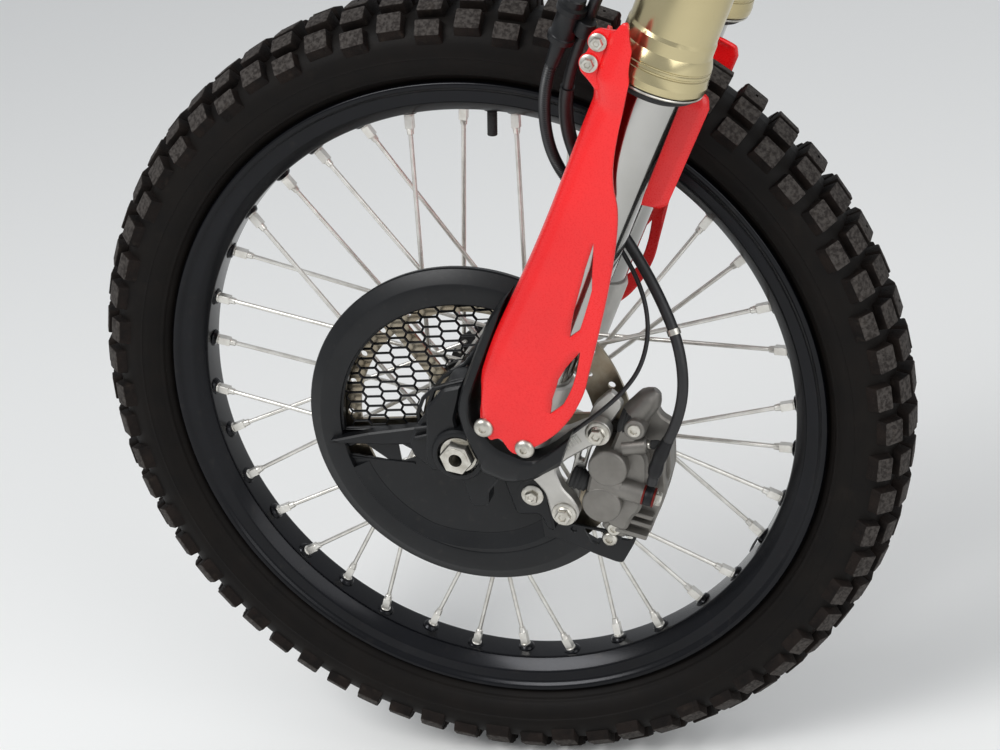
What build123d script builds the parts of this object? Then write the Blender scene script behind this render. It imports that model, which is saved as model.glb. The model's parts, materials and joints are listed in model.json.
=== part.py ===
from build123d import *
from math import cos, radians, sin, tan
import os

# Front wheel and fork assembly of a dual sport motorcycle, in millimetres.
# +X points to the rear of the motorcycle, +Y to the rider's right and +Z up.
# The origin is on the steering axis, at the seat of the lower steering bearing.
# Up the leg means along the fork's slope, measured from the height of the axle.

os.makedirs("parts", exist_ok=True)

# Steering layout
RAKE = 28.0              # slope of the steering axis from upright, degrees
CLAMP_OFFSET = 22.0      # leg centres ahead of the steering axis
AXLE_LEAD = 35.4         # axle ahead of the leg centres
SEAT_HEIGHT = 725.0      # lower bearing seat, up the leg from the axle
LEG_SPACING = 196.0      # between the leg centres

# Tyre and rim
RIM_FLANGE_R = 280.7
RIM_HALF_WIDTH = 27.0
RIM_BEAD_HALF = 20.3     # half the width between the flanges
RIM_SEAT_R = RIM_FLANGE_R - 13.2
RIM_INNER_R = RIM_FLANGE_R - 27.7   # inner face, where the nipples come out
RIM_WALL = 3.2
RIM_WELL_HALF = 9.0      # half the width of the drop centre's floor
BEAD_CLEARANCE = 0.3
TYRE_R = RIM_FLANGE_R + 66.3        # out to the tips of the lugs
TYRE_WALL = 7.0
CROWN_R = 47.4           # arc across the tyre that the lugs' tips lie on
SIDEWALL_HALF = 38.3     # half the width of the carcass
REPEATS = 33             # of the tread's pattern
LUG_DEPTH = 12.5
LUG_ROOT = 4.5           # how far a lug's base lies inside the carcass
LUG_DRAFT = 1.5          # a lug's base is wider than its tip by this much at each side
LUG_LENGTH = 20.0        # along the tread

# Spokes
SPOKE_COUNT = 36
SPOKE_R = 1.9
SPOKE_PHASE = -13.5      # first nipple, from straight up towards the front, degrees
NIPPLE_FLATS = 6.4
NIPPLE_LENGTH = 18.0
NIPPLE_STAGGER = 3.5     # nipples left and right of the rim's middle
LACE_ANGLE = 55.6        # from a nipple to its own hole in the hub, degrees
NIPPLE_CLEARANCE = 0.85  # lets the tilted nipples' corners meet the rim
SPOKE_LIFT = 1.75        # outer spokes stand this far off the flange at the hub

# Hub, bearings and axle
FLANGE_CENTRE = 35.0     # spoke flanges, each side of the middle
FLANGE_THICKNESS = 5.0
SPOKE_CIRCLE_R = 45.0
HUB_LEFT_END = 63.0
HUB_RIGHT_END = 46.0
HUB_BARREL_R = 23.0
HUB_HOUSING_R = 26.0
BEARING_R = 21.0
BEARING_WIDTH = 12.0
AXLE_R = 10.0
AXLE_BORE_R = 5.5
RUNNING_CLEARANCE = 0.05
SEAT_CLEARANCE = 0.05
SIDE_PLAY = 0.4          # between a turning face and the collar beside it

# Brake disc
DISC_R = 130.0
DISC_Y = 54.0            # middle of the disc, left of the wheel's middle
DISC_THICKNESS = 3.0
DISC_BAND = 30.0         # width of the braking band
DISC_HOLES = 24
DISC_HOLE_R = 3.0
DISC_ARMS = 6
DISC_BOSS_R = 38.0

# Fork legs
TUBE_R = 24.5
TUBE_WALL = 3.5
TUBE_FOOT = 40.0         # lower end of the inner tube, up the leg
TUBE_TOP = 600.0
OUTER_R = 32.0
OUTER_CLAMPED_R = 29.5
OUTER_FOOT = 352.0       # lower end of the outer tube, up the leg
FLARE_R = 37.6           # seal housing at the foot of the outer tube
FLARE_LENGTH = 22.0
FLARE_GROOVE = 1.0
NECK_R = 34.2
NECK_LENGTH = 50.0
TUBE_PROUD = 9.0         # the outer tubes stand this far above the top clamp
SLIDE_CLEARANCE = 0.3
SEAL_R = 33.0
SEAL_LENGTH = 10.0
CASTING_R = 28.0
CASTING_TOP = 96.0
CASTING_FOOT = -12.0
SOCKET_FOOT = 34.0       # underside of the tube's socket, up the leg
AXLE_BOSS_R = 18.0
CASTING_INNER_Y = 74.0   # wheel side of the castings, from the middle
CASTING_OUTER_Y = 104.0

# Clamps and stem
CLAMP_WALL = 10.0
LOWER_CLAMP_HEIGHT = 34.0
TOP_CLAMP_HEIGHT = 24.0
HEAD_LENGTH = 182.0      # between the two clamps
OUTER_LENGTH = SEAT_HEIGHT + HEAD_LENGTH + TOP_CLAMP_HEIGHT + TUBE_PROUD - OUTER_FOOT
STEM_R = 15.0            # between the clamps, where the bearings run
STEM_TOP_R = 12.5        # inside the top clamp
STEM_BORE_R = 10.0
STEM_BOSS_R = 27.0
RISER_SPACING = 96.0
RISER_HOLE_R = 6.0

# Guards
GUARD_WALL = 3.0

# Disc cover
COVER_R = 144.0
COVER_Y = 62.0           # back of the cover, left of the wheel's middle
COVER_WALL = 3.0

# Directions and planes
UP_LEG = Vector(sin(radians(RAKE)), 0, cos(radians(RAKE)))
BEHIND = Vector(cos(radians(RAKE)), 0, -sin(radians(RAKE)))
LEFT = Vector(0, -1, 0)
AXLE = BEHIND * -(CLAMP_OFFSET + AXLE_LEAD) + UP_LEG * -SEAT_HEIGHT
LEG_FOOT = BEHIND * -CLAMP_OFFSET + UP_LEG * -SEAT_HEIGHT
STEER = Plane(origin=(0, 0, 0), x_dir=BEHIND, z_dir=UP_LEG)
WHEEL_SIDE = Plane(origin=AXLE, x_dir=(1, 0, 0), z_dir=LEFT)
WHEEL_SECTION = Plane(origin=AXLE, x_dir=(0, 1, 0), z_dir=(1, 0, 0))
FORK_SIDE = Plane(origin=LEG_FOOT, x_dir=BEHIND, z_dir=LEFT)
SPIN = Axis(AXLE, (0, 1, 0))
SIDES = {"left": -1, "right": 1}


def wheel_plane(y):
    """Side view of the wheel at a distance right of the middle: x to the rear, y up."""
    return WHEEL_SIDE.offset(-y)


def fork_plane(y):
    """Side view of the leg at a distance right of the middle: x behind the leg, y up it."""
    return FORK_SIDE.offset(-y)


def leg_plane(side, height):
    """Across a leg at a height up it: x behind the leg, y to the right."""
    foot = LEG_FOOT + Vector(0, side * LEG_SPACING / 2, 0)
    return Plane(origin=foot + UP_LEG * height, x_dir=BEHIND, z_dir=UP_LEG)


def leg_section(side):
    """Through a leg's centre line: x is the radius, y is up the leg."""
    foot = LEG_FOOT + Vector(0, side * LEG_SPACING / 2, 0)
    return Plane(origin=foot, x_dir=BEHIND, z_dir=LEFT)


def leg_axis(side):
    """The centre line of a leg."""
    return Axis(LEG_FOOT + Vector(0, side * LEG_SPACING / 2, 0), UP_LEG)


def around_axle(angle, radius, y):
    """A point at an angle from straight up towards the front of the wheel."""
    a = radians(angle)
    return AXLE + Vector(-radius * sin(a), y, radius * cos(a))


def finish(piece, name):
    """Labels a piece and writes it."""
    piece.part.label = name
    export_step(piece.part, "parts/" + name + ".step")


# Tyre: a flat-sided carcass on the bead seats, with one flat for each repeat of the tread
BEAD_R = RIM_SEAT_R + BEAD_CLEARANCE
BEAD_Y = RIM_BEAD_HALF - BEAD_CLEARANCE
CROWN_HALF = SIDEWALL_HALF / 2
REPEAT_ANGLE = 360.0 / REPEATS
FLAT_REACH = 50.0        # longer than half a flat, and cut at its edges
TREAD_PHASE = 8.9        # first centre lug, from straight up towards the front, degrees
CROWN_MIDDLE_R = TYRE_R - CROWN_R
# Half of the carcass's section: right of the middle, radius
CARCASS_HALF = (
    (BEAD_Y - TYRE_WALL, BEAD_R),
    (BEAD_Y, BEAD_R),
    (BEAD_Y, RIM_FLANGE_R - 3.7),
    (SIDEWALL_HALF, RIM_FLANGE_R + 21.3),
    (CROWN_HALF, TYRE_R - LUG_DEPTH),
)
CAVITY_CORNER = (SIDEWALL_HALF - 1.7 * TYRE_WALL, TYRE_R - 37)
# Lugs on the right: share of a repeat, slope at the inner and outer end in degrees, and how far the base
# reaches past the tip at the inner and outer end
LUGS = (
    (0.0, -13, 13, 0, 0),
    (0.0, 18, 36, -4, 0),
    (0.0, 46, 62, 0, 7),
    (0.5, 3, 25, -3, 0),
    (0.5, 35, 55, 0, 4),
)


def carcass_plane(turn):
    """Section through the tyre at an angle round it: x to the right, y outwards."""
    return Plane(origin=AXLE, x_dir=(0, 1, 0), z_dir=(cos(radians(turn)), 0, sin(radians(turn))))


def lug_corner(slope, depth, past):
    """A corner of a lug on the right: inside the arc of the tips by a depth, and past the lug's middle."""
    reach = CROWN_R - depth
    return (reach * sin(radians(slope)) + past * cos(radians(slope)),
            CROWN_MIDDLE_R + reach * cos(radians(slope)) - past * sin(radians(slope)))


FIRST_EDGE = TREAD_PHASE - REPEAT_ANGLE / 4
with BuildPart() as repeat:
    with BuildSketch(carcass_plane(FIRST_EDGE + REPEAT_ANGLE / 2)):
        right = [CAVITY_CORNER, *CARCASS_HALF]
        Polygon(*right, *[(-y, radius) for y, radius in reversed(right)], align=None)
    extrude(amount=FLAT_REACH, both=True)
    split(bisect_by=carcass_plane(FIRST_EDGE), keep=Keep.BOTTOM)
    split(bisect_by=carcass_plane(FIRST_EDGE + REPEAT_ANGLE), keep=Keep.TOP)
    for share, inner, outer, base_inner, base_outer in LUGS:
        slope = (inner + outer) / 2
        half = CROWN_R * sin(radians((outer - inner) / 2))
        corners = (
            lug_corner(slope, 0, -half),
            lug_corner(slope, 0, half),
            lug_corner(slope, LUG_DEPTH + LUG_ROOT, half + LUG_DRAFT + base_outer),
            lug_corner(slope, LUG_DEPTH + LUG_ROOT, -half - LUG_DRAFT - base_inner),
        )
        for side in (-1, 1) if inner > 0 else (1,):
            with BuildSketch(carcass_plane(TREAD_PHASE + share * REPEAT_ANGLE)):
                Polygon(*[(side * y, radius) for y, radius in corners], align=None)
            extrude(amount=LUG_LENGTH / 2, both=True)
with BuildPart() as tyre:
    add([repeat.part.rotate(SPIN, -number * REPEAT_ANGLE) for number in range(REPEATS)])
finish(tyre, "tyre")

# Rim: flanges, bead seats and a drop centre
FLANGE_TOP_Y = RIM_HALF_WIDTH - 2.5
WELL_R = RIM_INNER_R + RIM_WALL
WELL_TOP_HALF = RIM_WELL_HALF + 4
with BuildPart() as rim:
    with BuildSketch(WHEEL_SECTION):
        with BuildLine():
            Polyline(
                (-FLANGE_TOP_Y, RIM_FLANGE_R),
                (-RIM_BEAD_HALF, RIM_FLANGE_R - 4),
                (-RIM_BEAD_HALF, RIM_SEAT_R),
                (-WELL_TOP_HALF, RIM_SEAT_R - 1),
                (-RIM_WELL_HALF, WELL_R),
                (RIM_WELL_HALF, WELL_R),
                (WELL_TOP_HALF, RIM_SEAT_R - 1),
                (RIM_BEAD_HALF, RIM_SEAT_R),
                (RIM_BEAD_HALF, RIM_FLANGE_R - 4),
                (FLANGE_TOP_Y, RIM_FLANGE_R),
                (RIM_HALF_WIDTH, RIM_FLANGE_R - 1.5),
                (RIM_HALF_WIDTH, RIM_FLANGE_R - 5),
                (RIM_HALF_WIDTH - 3.5, RIM_FLANGE_R - 8.5),
                (RIM_HALF_WIDTH - 4.5, RIM_SEAT_R - 4.5),
                (WELL_TOP_HALF, RIM_INNER_R),
                (-WELL_TOP_HALF, RIM_INNER_R),
                (-RIM_HALF_WIDTH + 4.5, RIM_SEAT_R - 4.5),
                (-RIM_HALF_WIDTH + 3.5, RIM_FLANGE_R - 8.5),
                (-RIM_HALF_WIDTH, RIM_FLANGE_R - 5),
                (-RIM_HALF_WIDTH, RIM_FLANGE_R - 1.5),
                close=True,
            )
        make_face()
    revolve(axis=SPIN)
finish(rim, "rim")

# Spokes: each row is the nipple's number and the side and turn of its hole in the hub
SPOKE_PITCH = 360.0 / SPOKE_COUNT
spoke_lines = []
for number in range(SPOKE_COUNT):
    side = -1 if number % 2 == 0 else 1
    turn = -1 if number % 4 in (0, 3) else 1
    angle = SPOKE_PHASE + SPOKE_PITCH * number
    head_y = side * (FLANGE_CENTRE - FLANGE_THICKNESS / 2 - SPOKE_R)
    if turn > 0:
        head_y = side * (FLANGE_CENTRE + FLANGE_THICKNESS / 2 + SPOKE_R + SPOKE_LIFT)
    outer = around_axle(angle, RIM_INNER_R - NIPPLE_CLEARANCE, side * NIPPLE_STAGGER)
    inner = around_axle(angle + turn * LACE_ANGLE, SPOKE_CIRCLE_R, head_y)
    spoke_lines.append((side, outer, inner))

spoke_parts = {}
for name, wanted in SIDES.items():
    with BuildPart() as spokes:
        for side, outer, inner in spoke_lines:
            if side == wanted:
                run = inner - outer
                start = outer + run.normalized() * NIPPLE_LENGTH
                with BuildSketch(Plane(origin=start, z_dir=run)):
                    Circle(SPOKE_R)
                extrude(amount=run.length - NIPPLE_LENGTH)
    finish(spokes, "spokes_" + name)

with BuildPart() as nipples:
    for side, outer, inner in spoke_lines:
        run = inner - outer
        with BuildSketch(Plane(origin=outer, z_dir=run)):
            RegularPolygon(NIPPLE_FLATS / 2, 6, major_radius=False)
        extrude(amount=NIPPLE_LENGTH)
finish(nipples, "nipples")

# Hub: bearing housings, two spoke flanges, a barrel and the disc's boss
FLANGE_IN = FLANGE_CENTRE - FLANGE_THICKNESS / 2
FLANGE_OUT = FLANGE_CENTRE + FLANGE_THICKNESS / 2
FLANGE_R = SPOKE_CIRCLE_R + 5
DISC_BACK = DISC_Y - DISC_THICKNESS / 2
with BuildPart() as hub:
    with BuildSketch(WHEEL_SECTION):
        with BuildLine():
            Polyline(
                (-HUB_LEFT_END, BEARING_R),
                (-HUB_LEFT_END, HUB_HOUSING_R),
                (-DISC_BACK, HUB_HOUSING_R),
                (-DISC_BACK, DISC_BOSS_R),
                (-FLANGE_OUT - 4, DISC_BOSS_R - 4),
                (-FLANGE_OUT, SPOKE_CIRCLE_R - 6),
                (-FLANGE_OUT, FLANGE_R),
                (-FLANGE_IN, FLANGE_R),
                (-FLANGE_IN, SPOKE_CIRCLE_R - 6),
                (-FLANGE_IN + 12, HUB_BARREL_R + 2),
                (0, HUB_BARREL_R),
                (FLANGE_IN - 12, HUB_BARREL_R + 2),
                (FLANGE_IN, SPOKE_CIRCLE_R - 6),
                (FLANGE_IN, FLANGE_R),
                (FLANGE_OUT, FLANGE_R),
                (FLANGE_OUT, SPOKE_CIRCLE_R - 6),
                (FLANGE_OUT + 3, HUB_HOUSING_R + 2),
                (HUB_RIGHT_END, HUB_HOUSING_R),
                (HUB_RIGHT_END, BEARING_R),
                (HUB_RIGHT_END - BEARING_WIDTH, BEARING_R),
                (HUB_RIGHT_END - BEARING_WIDTH, BEARING_R - 4),
                (-HUB_LEFT_END + BEARING_WIDTH, BEARING_R - 4),
                (-HUB_LEFT_END + BEARING_WIDTH, BEARING_R),
                close=True,
            )
        make_face()
    revolve(axis=SPIN)
finish(hub, "hub")

# Wheel bearings: one ring in each end of the hub
with BuildPart() as wheel_bearings:
    for y in (-HUB_LEFT_END, HUB_RIGHT_END - BEARING_WIDTH):
        with BuildSketch(wheel_plane(y)):
            Circle(BEARING_R - SEAT_CLEARANCE)
            Circle(AXLE_R + RUNNING_CLEARANCE, mode=Mode.SUBTRACT)
        extrude(amount=-BEARING_WIDTH)
finish(wheel_bearings, "wheel_bearings")

# Brake disc: a drilled band on arms from the bolted centre
ARM_MIDDLE = (DISC_R - DISC_BAND + HUB_HOUSING_R + 8) / 2
with BuildPart() as brake_disc:
    with BuildSketch(wheel_plane(-DISC_BACK)):
        Circle(DISC_R)
        Circle(DISC_R - DISC_BAND, mode=Mode.SUBTRACT)
        Circle(DISC_BOSS_R + 8)
        with PolarLocations(ARM_MIDDLE, DISC_ARMS):
            Rectangle(DISC_R - DISC_BAND - HUB_HOUSING_R, 14)
        Circle(HUB_HOUSING_R + SEAT_CLEARANCE, mode=Mode.SUBTRACT)
        with PolarLocations(DISC_R - DISC_BAND * 0.28, DISC_HOLES):
            Circle(DISC_HOLE_R, mode=Mode.SUBTRACT)
        with PolarLocations(DISC_R - DISC_BAND * 0.72, DISC_HOLES, start_angle=180.0 / DISC_HOLES):
            Circle(DISC_HOLE_R, mode=Mode.SUBTRACT)
    extrude(amount=DISC_THICKNESS)
finish(brake_disc, "brake_disc")

# Disc bolts: button heads over the disc's centre
DISC_BOLT_CIRCLE = (HUB_HOUSING_R + DISC_BOSS_R) / 2 + 1
with BuildPart() as disc_bolts:
    with BuildSketch(wheel_plane(-DISC_BACK - DISC_THICKNESS)):
        with PolarLocations(DISC_BOLT_CIRCLE, DISC_ARMS):
            Circle(4.0)
    extrude(amount=3.0)
finish(disc_bolts, "disc_bolts")

# Valve stem, through the rim towards the hub
VALVE_ANGLE = SPOKE_PHASE + 0.45 * SPOKE_PITCH
VALVE_LENGTH = 24.0
with BuildPart() as valve_stem:
    with BuildSketch(Plane(origin=around_axle(VALVE_ANGLE, RIM_INNER_R - NIPPLE_CLEARANCE, 0),
                           z_dir=AXLE - around_axle(VALVE_ANGLE, RIM_INNER_R, 0))):
        Circle(4.6)
    extrude(amount=VALVE_LENGTH)
finish(valve_stem, "valve_stem")

# Axle: a hollow shaft with a flanged head on the right
AXLE_LEFT_END = 119.0
AXLE_HEAD_Y = CASTING_OUTER_Y + 2
with BuildPart() as axle:
    with BuildSketch(wheel_plane(AXLE_HEAD_Y + 4)):
        Circle(AXLE_R)
        Circle(AXLE_BORE_R, mode=Mode.SUBTRACT)
    extrude(amount=AXLE_LEFT_END + AXLE_HEAD_Y + 4)
    with BuildSketch(wheel_plane(AXLE_HEAD_Y + 4)):
        Circle(AXLE_R + 3.5)
        Circle(AXLE_BORE_R, mode=Mode.SUBTRACT)
    extrude(amount=4)
finish(axle, "axle")

# Axle nut: a tall hexagon on a washer face
NUT_FLATS = 24.0
NUT_SEAT = CASTING_OUTER_Y
with BuildPart() as axle_nut:
    with BuildSketch(wheel_plane(-NUT_SEAT)):
        Circle(15.0)
        Circle(AXLE_R + RUNNING_CLEARANCE, mode=Mode.SUBTRACT)
    extrude(amount=3)
    with BuildSketch(wheel_plane(-NUT_SEAT - 3)):
        RegularPolygon(NUT_FLATS / 2, 6, major_radius=False)
        Circle(AXLE_R + RUNNING_CLEARANCE, mode=Mode.SUBTRACT)
    extrude(amount=AXLE_LEFT_END + 2 - NUT_SEAT - 3)
finish(axle_nut, "axle_nut")

# Collars between the bearings and the castings
COLLAR_R = 16.0
collar_spans = {"left": (-HUB_LEFT_END - SIDE_PLAY, -CASTING_INNER_Y),
                "right": (HUB_RIGHT_END + SIDE_PLAY, CASTING_INNER_Y)}
for name, (start, end) in collar_spans.items():
    with BuildPart() as collar:
        with BuildSketch(wheel_plane(start)):
            Circle(COLLAR_R)
            Circle(AXLE_R + RUNNING_CLEARANCE, mode=Mode.SUBTRACT)
        extrude(amount=start - end)
    finish(collar, "axle_collar_" + name)

# Fork bottoms: a socket for the inner tube, the axle's boss and the web between them
CALIPER_LUG_T = 59.0
CALIPER_LUGS = (58.7, -22.3)   # bolts of the caliper's bracket, up the leg
LUG_R = 10.0
LUG_HOLE_R = 4.1
LUG_OUTER_Y = 92.0
LUG_INNER_Y = 80.0
GUARD_BOLTS = ((-22.4, 46.4), (12.9, 43.8))   # behind the leg, up it
PINCH_DEPTH = 34.0       # lug of the axle's pinch bolts on the right, below the axle
PINCH_WIDTH = 30.0
PINCH_SLOT = 2.5
PINCH_BOLT_R = 3.2
for name, side in SIDES.items():
    with BuildPart() as casting:
        with BuildSketch(leg_section(side)):
            Polygon((0, SOCKET_FOOT), (CASTING_R - 6, SOCKET_FOOT), (CASTING_R, SOCKET_FOOT + 6),
                    (CASTING_R, CASTING_TOP - 4), (CASTING_R - 2, CASTING_TOP), (0, CASTING_TOP), align=None)
        revolve(axis=leg_axis(side))
        with BuildSketch(fork_plane(side * CASTING_INNER_Y)):
            with Locations((-AXLE_LEAD, 0)):
                Circle(AXLE_BOSS_R)
        extrude(amount=side * (CASTING_INNER_Y - CASTING_OUTER_Y))
        with BuildSketch(fork_plane(side * (CASTING_INNER_Y + 6))):
            with BuildLine():
                Polyline((-AXLE_LEAD, AXLE_BOSS_R - 1), (-CASTING_R + 4, 34), (-CASTING_R + 6, 78), (10, 78),
                         (18, 20), (8, CASTING_FOOT), (-AXLE_LEAD, -AXLE_BOSS_R + 1), close=True)
            make_face()
        extrude(amount=side * (CASTING_INNER_Y + 6 - CASTING_OUTER_Y + 4))
        if side < 0:
            with BuildSketch(fork_plane(-LUG_INNER_Y)):
                with BuildLine():
                    Polyline((10, CALIPER_LUGS[0] + LUG_R), (CALIPER_LUG_T, CALIPER_LUGS[0] + LUG_R),
                             (CALIPER_LUG_T, CALIPER_LUGS[0] - LUG_R), (40, 18),
                             (CALIPER_LUG_T, CALIPER_LUGS[1] + LUG_R),
                             (CALIPER_LUG_T, CALIPER_LUGS[1] - LUG_R),
                             (CALIPER_LUG_T - 12, CALIPER_LUGS[1] - LUG_R), (8, CASTING_FOOT), close=True)
                make_face()
                with Locations(*[(CALIPER_LUG_T, height) for height in CALIPER_LUGS]):
                    Circle(LUG_R)
            extrude(amount=LUG_OUTER_Y - LUG_INNER_Y)
            with BuildSketch(fork_plane(-LUG_INNER_Y)):
                with Locations(*[(CALIPER_LUG_T, height) for height in CALIPER_LUGS]):
                    Circle(LUG_HOLE_R)
            extrude(amount=LUG_OUTER_Y - LUG_INNER_Y, mode=Mode.SUBTRACT)
        if side > 0:
            with BuildSketch(fork_plane(CASTING_INNER_Y)):
                with Locations((-AXLE_LEAD, -PINCH_DEPTH / 2)):
                    Rectangle(PINCH_WIDTH, PINCH_DEPTH)
            extrude(amount=CASTING_INNER_Y - CASTING_OUTER_Y)
            with BuildSketch(fork_plane(CASTING_INNER_Y)):
                with Locations((-AXLE_LEAD, -PINCH_DEPTH / 2)):
                    Rectangle(PINCH_SLOT, PINCH_DEPTH)
            extrude(amount=CASTING_INNER_Y - CASTING_OUTER_Y, mode=Mode.SUBTRACT)
            pinch_side = Plane(origin=LEG_FOOT - BEHIND * (AXLE_LEAD + PINCH_WIDTH), x_dir=(0, 1, 0),
                               z_dir=BEHIND)
            with BuildSketch(pinch_side):
                with Locations((CASTING_INNER_Y + 8, AXLE_BOSS_R + 8),
                               (CASTING_OUTER_Y - 8, AXLE_BOSS_R + 8)):
                    Circle(PINCH_BOLT_R)
            extrude(amount=2 * PINCH_WIDTH, mode=Mode.SUBTRACT)
        with BuildSketch(leg_plane(side, TUBE_FOOT)):
            Circle(TUBE_R + SEAT_CLEARANCE)
        extrude(amount=CASTING_TOP - TUBE_FOOT, mode=Mode.SUBTRACT)
        with BuildSketch(fork_plane(side * LEG_SPACING / 2)):
            with Locations((-AXLE_LEAD, 0)):
                Circle(AXLE_R + RUNNING_CLEARANCE)
        extrude(amount=2 * CASTING_R, both=True, mode=Mode.SUBTRACT)
        with BuildSketch(fork_plane(side * CASTING_OUTER_Y)):
            with Locations((-AXLE_LEAD, 0)):
                Circle(AXLE_BOSS_R)
        extrude(amount=-side * CASTING_R, mode=Mode.SUBTRACT)
    finish(casting, "fork_bottom_" + name)

# Inner tubes
for name, side in SIDES.items():
    with BuildPart() as inner_tube:
        with BuildSketch(leg_plane(side, TUBE_FOOT)):
            Circle(TUBE_R)
            Circle(TUBE_R - TUBE_WALL, mode=Mode.SUBTRACT)
        extrude(amount=TUBE_TOP - TUBE_FOOT)
    finish(inner_tube, "inner_tube_" + name)

# Dust seals under the outer tubes
for name, side in SIDES.items():
    with BuildPart() as dust_seal:
        with BuildSketch(leg_plane(side, OUTER_FOOT - SEAL_LENGTH)):
            Circle(SEAL_R)
            Circle(TUBE_R + SLIDE_CLEARANCE, mode=Mode.SUBTRACT)
        extrude(amount=SEAL_LENGTH)
    finish(dust_seal, "dust_seal_" + name)

# Outer tubes: a turned seal housing and neck, a thick lower length and a slimmer clamped one
OUTER_TOP = OUTER_FOOT + OUTER_LENGTH
OUTER_BORE_R = TUBE_R + SLIDE_CLEARANCE
GROOVE_HEIGHT = FLARE_LENGTH - 5
# Columns: radius, height above the foot
OUTER_STEPS = (
    (FLARE_R - 0.8, 0),
    (FLARE_R, 0.8),
    (FLARE_R, GROOVE_HEIGHT),
    (FLARE_R - FLARE_GROOVE, GROOVE_HEIGHT),
    (FLARE_R - FLARE_GROOVE, GROOVE_HEIGHT + FLARE_GROOVE),
    (FLARE_R, GROOVE_HEIGHT + FLARE_GROOVE),
    (FLARE_R, FLARE_LENGTH),
    (NECK_R, FLARE_LENGTH + 10),
    (NECK_R, NECK_LENGTH),
    (OUTER_R, NECK_LENGTH + 2),
    (OUTER_R, 220),
    (OUTER_CLAMPED_R, 290),
    (OUTER_CLAMPED_R, OUTER_LENGTH),
    (OUTER_BORE_R, OUTER_LENGTH),
    (OUTER_BORE_R, 0),
)
for name, side in SIDES.items():
    with BuildPart() as outer_tube:
        with BuildSketch(leg_section(side)):
            Polygon(*[(radius, OUTER_FOOT + height) for radius, height in OUTER_STEPS], align=None)
        revolve(axis=leg_axis(side))
    finish(outer_tube, "outer_tube_" + name)

# Fork caps: a flange over the tube's end and a hexagon
CAP_HEIGHT = 6.0
for name, side in SIDES.items():
    with BuildPart() as fork_cap:
        with BuildSketch(leg_plane(side, OUTER_TOP)):
            Circle(OUTER_CLAMPED_R - 1)
        extrude(amount=CAP_HEIGHT)
        with BuildSketch(leg_plane(side, OUTER_TOP + CAP_HEIGHT)):
            RegularPolygon(16, 6, major_radius=False)
        extrude(amount=8)
    finish(fork_cap, "fork_cap_" + name)

# Clamps: two split rings joined to the stem's boss
CLAMP_HOLE_R = OUTER_CLAMPED_R + SEAT_CLEARANCE
CLAMP_RING_R = CLAMP_HOLE_R + CLAMP_WALL
LEG_Y = LEG_SPACING / 2
LOWER_CLAMP_FOOT = -LOWER_CLAMP_HEIGHT - 3
TOP_CLAMP_FOOT = HEAD_LENGTH
clamp_spans = {"lower_clamp": (LOWER_CLAMP_FOOT, LOWER_CLAMP_HEIGHT),
               "top_clamp": (TOP_CLAMP_FOOT, TOP_CLAMP_HEIGHT)}
for name, (foot, height) in clamp_spans.items():
    with BuildPart() as clamp:
        with BuildSketch(STEER.offset(foot)):
            with Locations((-CLAMP_OFFSET, LEG_Y), (-CLAMP_OFFSET, -LEG_Y)):
                Circle(CLAMP_RING_R)
            Circle(STEM_BOSS_R)
            with Locations((-CLAMP_OFFSET / 2 - 3, 0)):
                Rectangle(46, LEG_SPACING)
            with Locations((-CLAMP_OFFSET, LEG_Y), (-CLAMP_OFFSET, -LEG_Y)):
                Circle(CLAMP_HOLE_R, mode=Mode.SUBTRACT)
                with Locations((CLAMP_RING_R, 0)):
                    Rectangle(2 * CLAMP_WALL + 4, 3, mode=Mode.SUBTRACT)
            Circle((STEM_R if name == "lower_clamp" else STEM_TOP_R) + SEAT_CLEARANCE, mode=Mode.SUBTRACT)
            if name == "top_clamp":
                with Locations((-CLAMP_OFFSET / 2, RISER_SPACING / 2),
                               (-CLAMP_OFFSET / 2, -RISER_SPACING / 2)):
                    Circle(RISER_HOLE_R, mode=Mode.SUBTRACT)
        extrude(amount=height)
    finish(clamp, name)

# Steering stem: a tube with the shoulder that seats the lower bearing
STEM_TOP = TOP_CLAMP_FOOT + TOP_CLAMP_HEIGHT
with BuildPart() as steering_stem:
    with BuildSketch(STEER.offset(LOWER_CLAMP_FOOT)):
        Circle(STEM_R)
        Circle(STEM_BORE_R, mode=Mode.SUBTRACT)
    extrude(amount=TOP_CLAMP_FOOT - LOWER_CLAMP_FOOT)
    with BuildSketch(STEER.offset(TOP_CLAMP_FOOT)):
        Circle(STEM_TOP_R)
        Circle(STEM_BORE_R, mode=Mode.SUBTRACT)
    extrude(amount=TOP_CLAMP_HEIGHT + 10)
    with BuildSketch(STEER.offset(-3)):
        Circle(STEM_R + 6)
        Circle(STEM_BORE_R, mode=Mode.SUBTRACT)
    extrude(amount=3)
finish(steering_stem, "steering_stem")

# Stem nut, on top of the top clamp
with BuildPart() as stem_nut:
    with BuildSketch(STEER.offset(STEM_TOP)):
        RegularPolygon(19, 6, major_radius=False)
        Circle(STEM_TOP_R + SEAT_CLEARANCE, mode=Mode.SUBTRACT)
    extrude(amount=12)
finish(stem_nut, "stem_nut")

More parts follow.
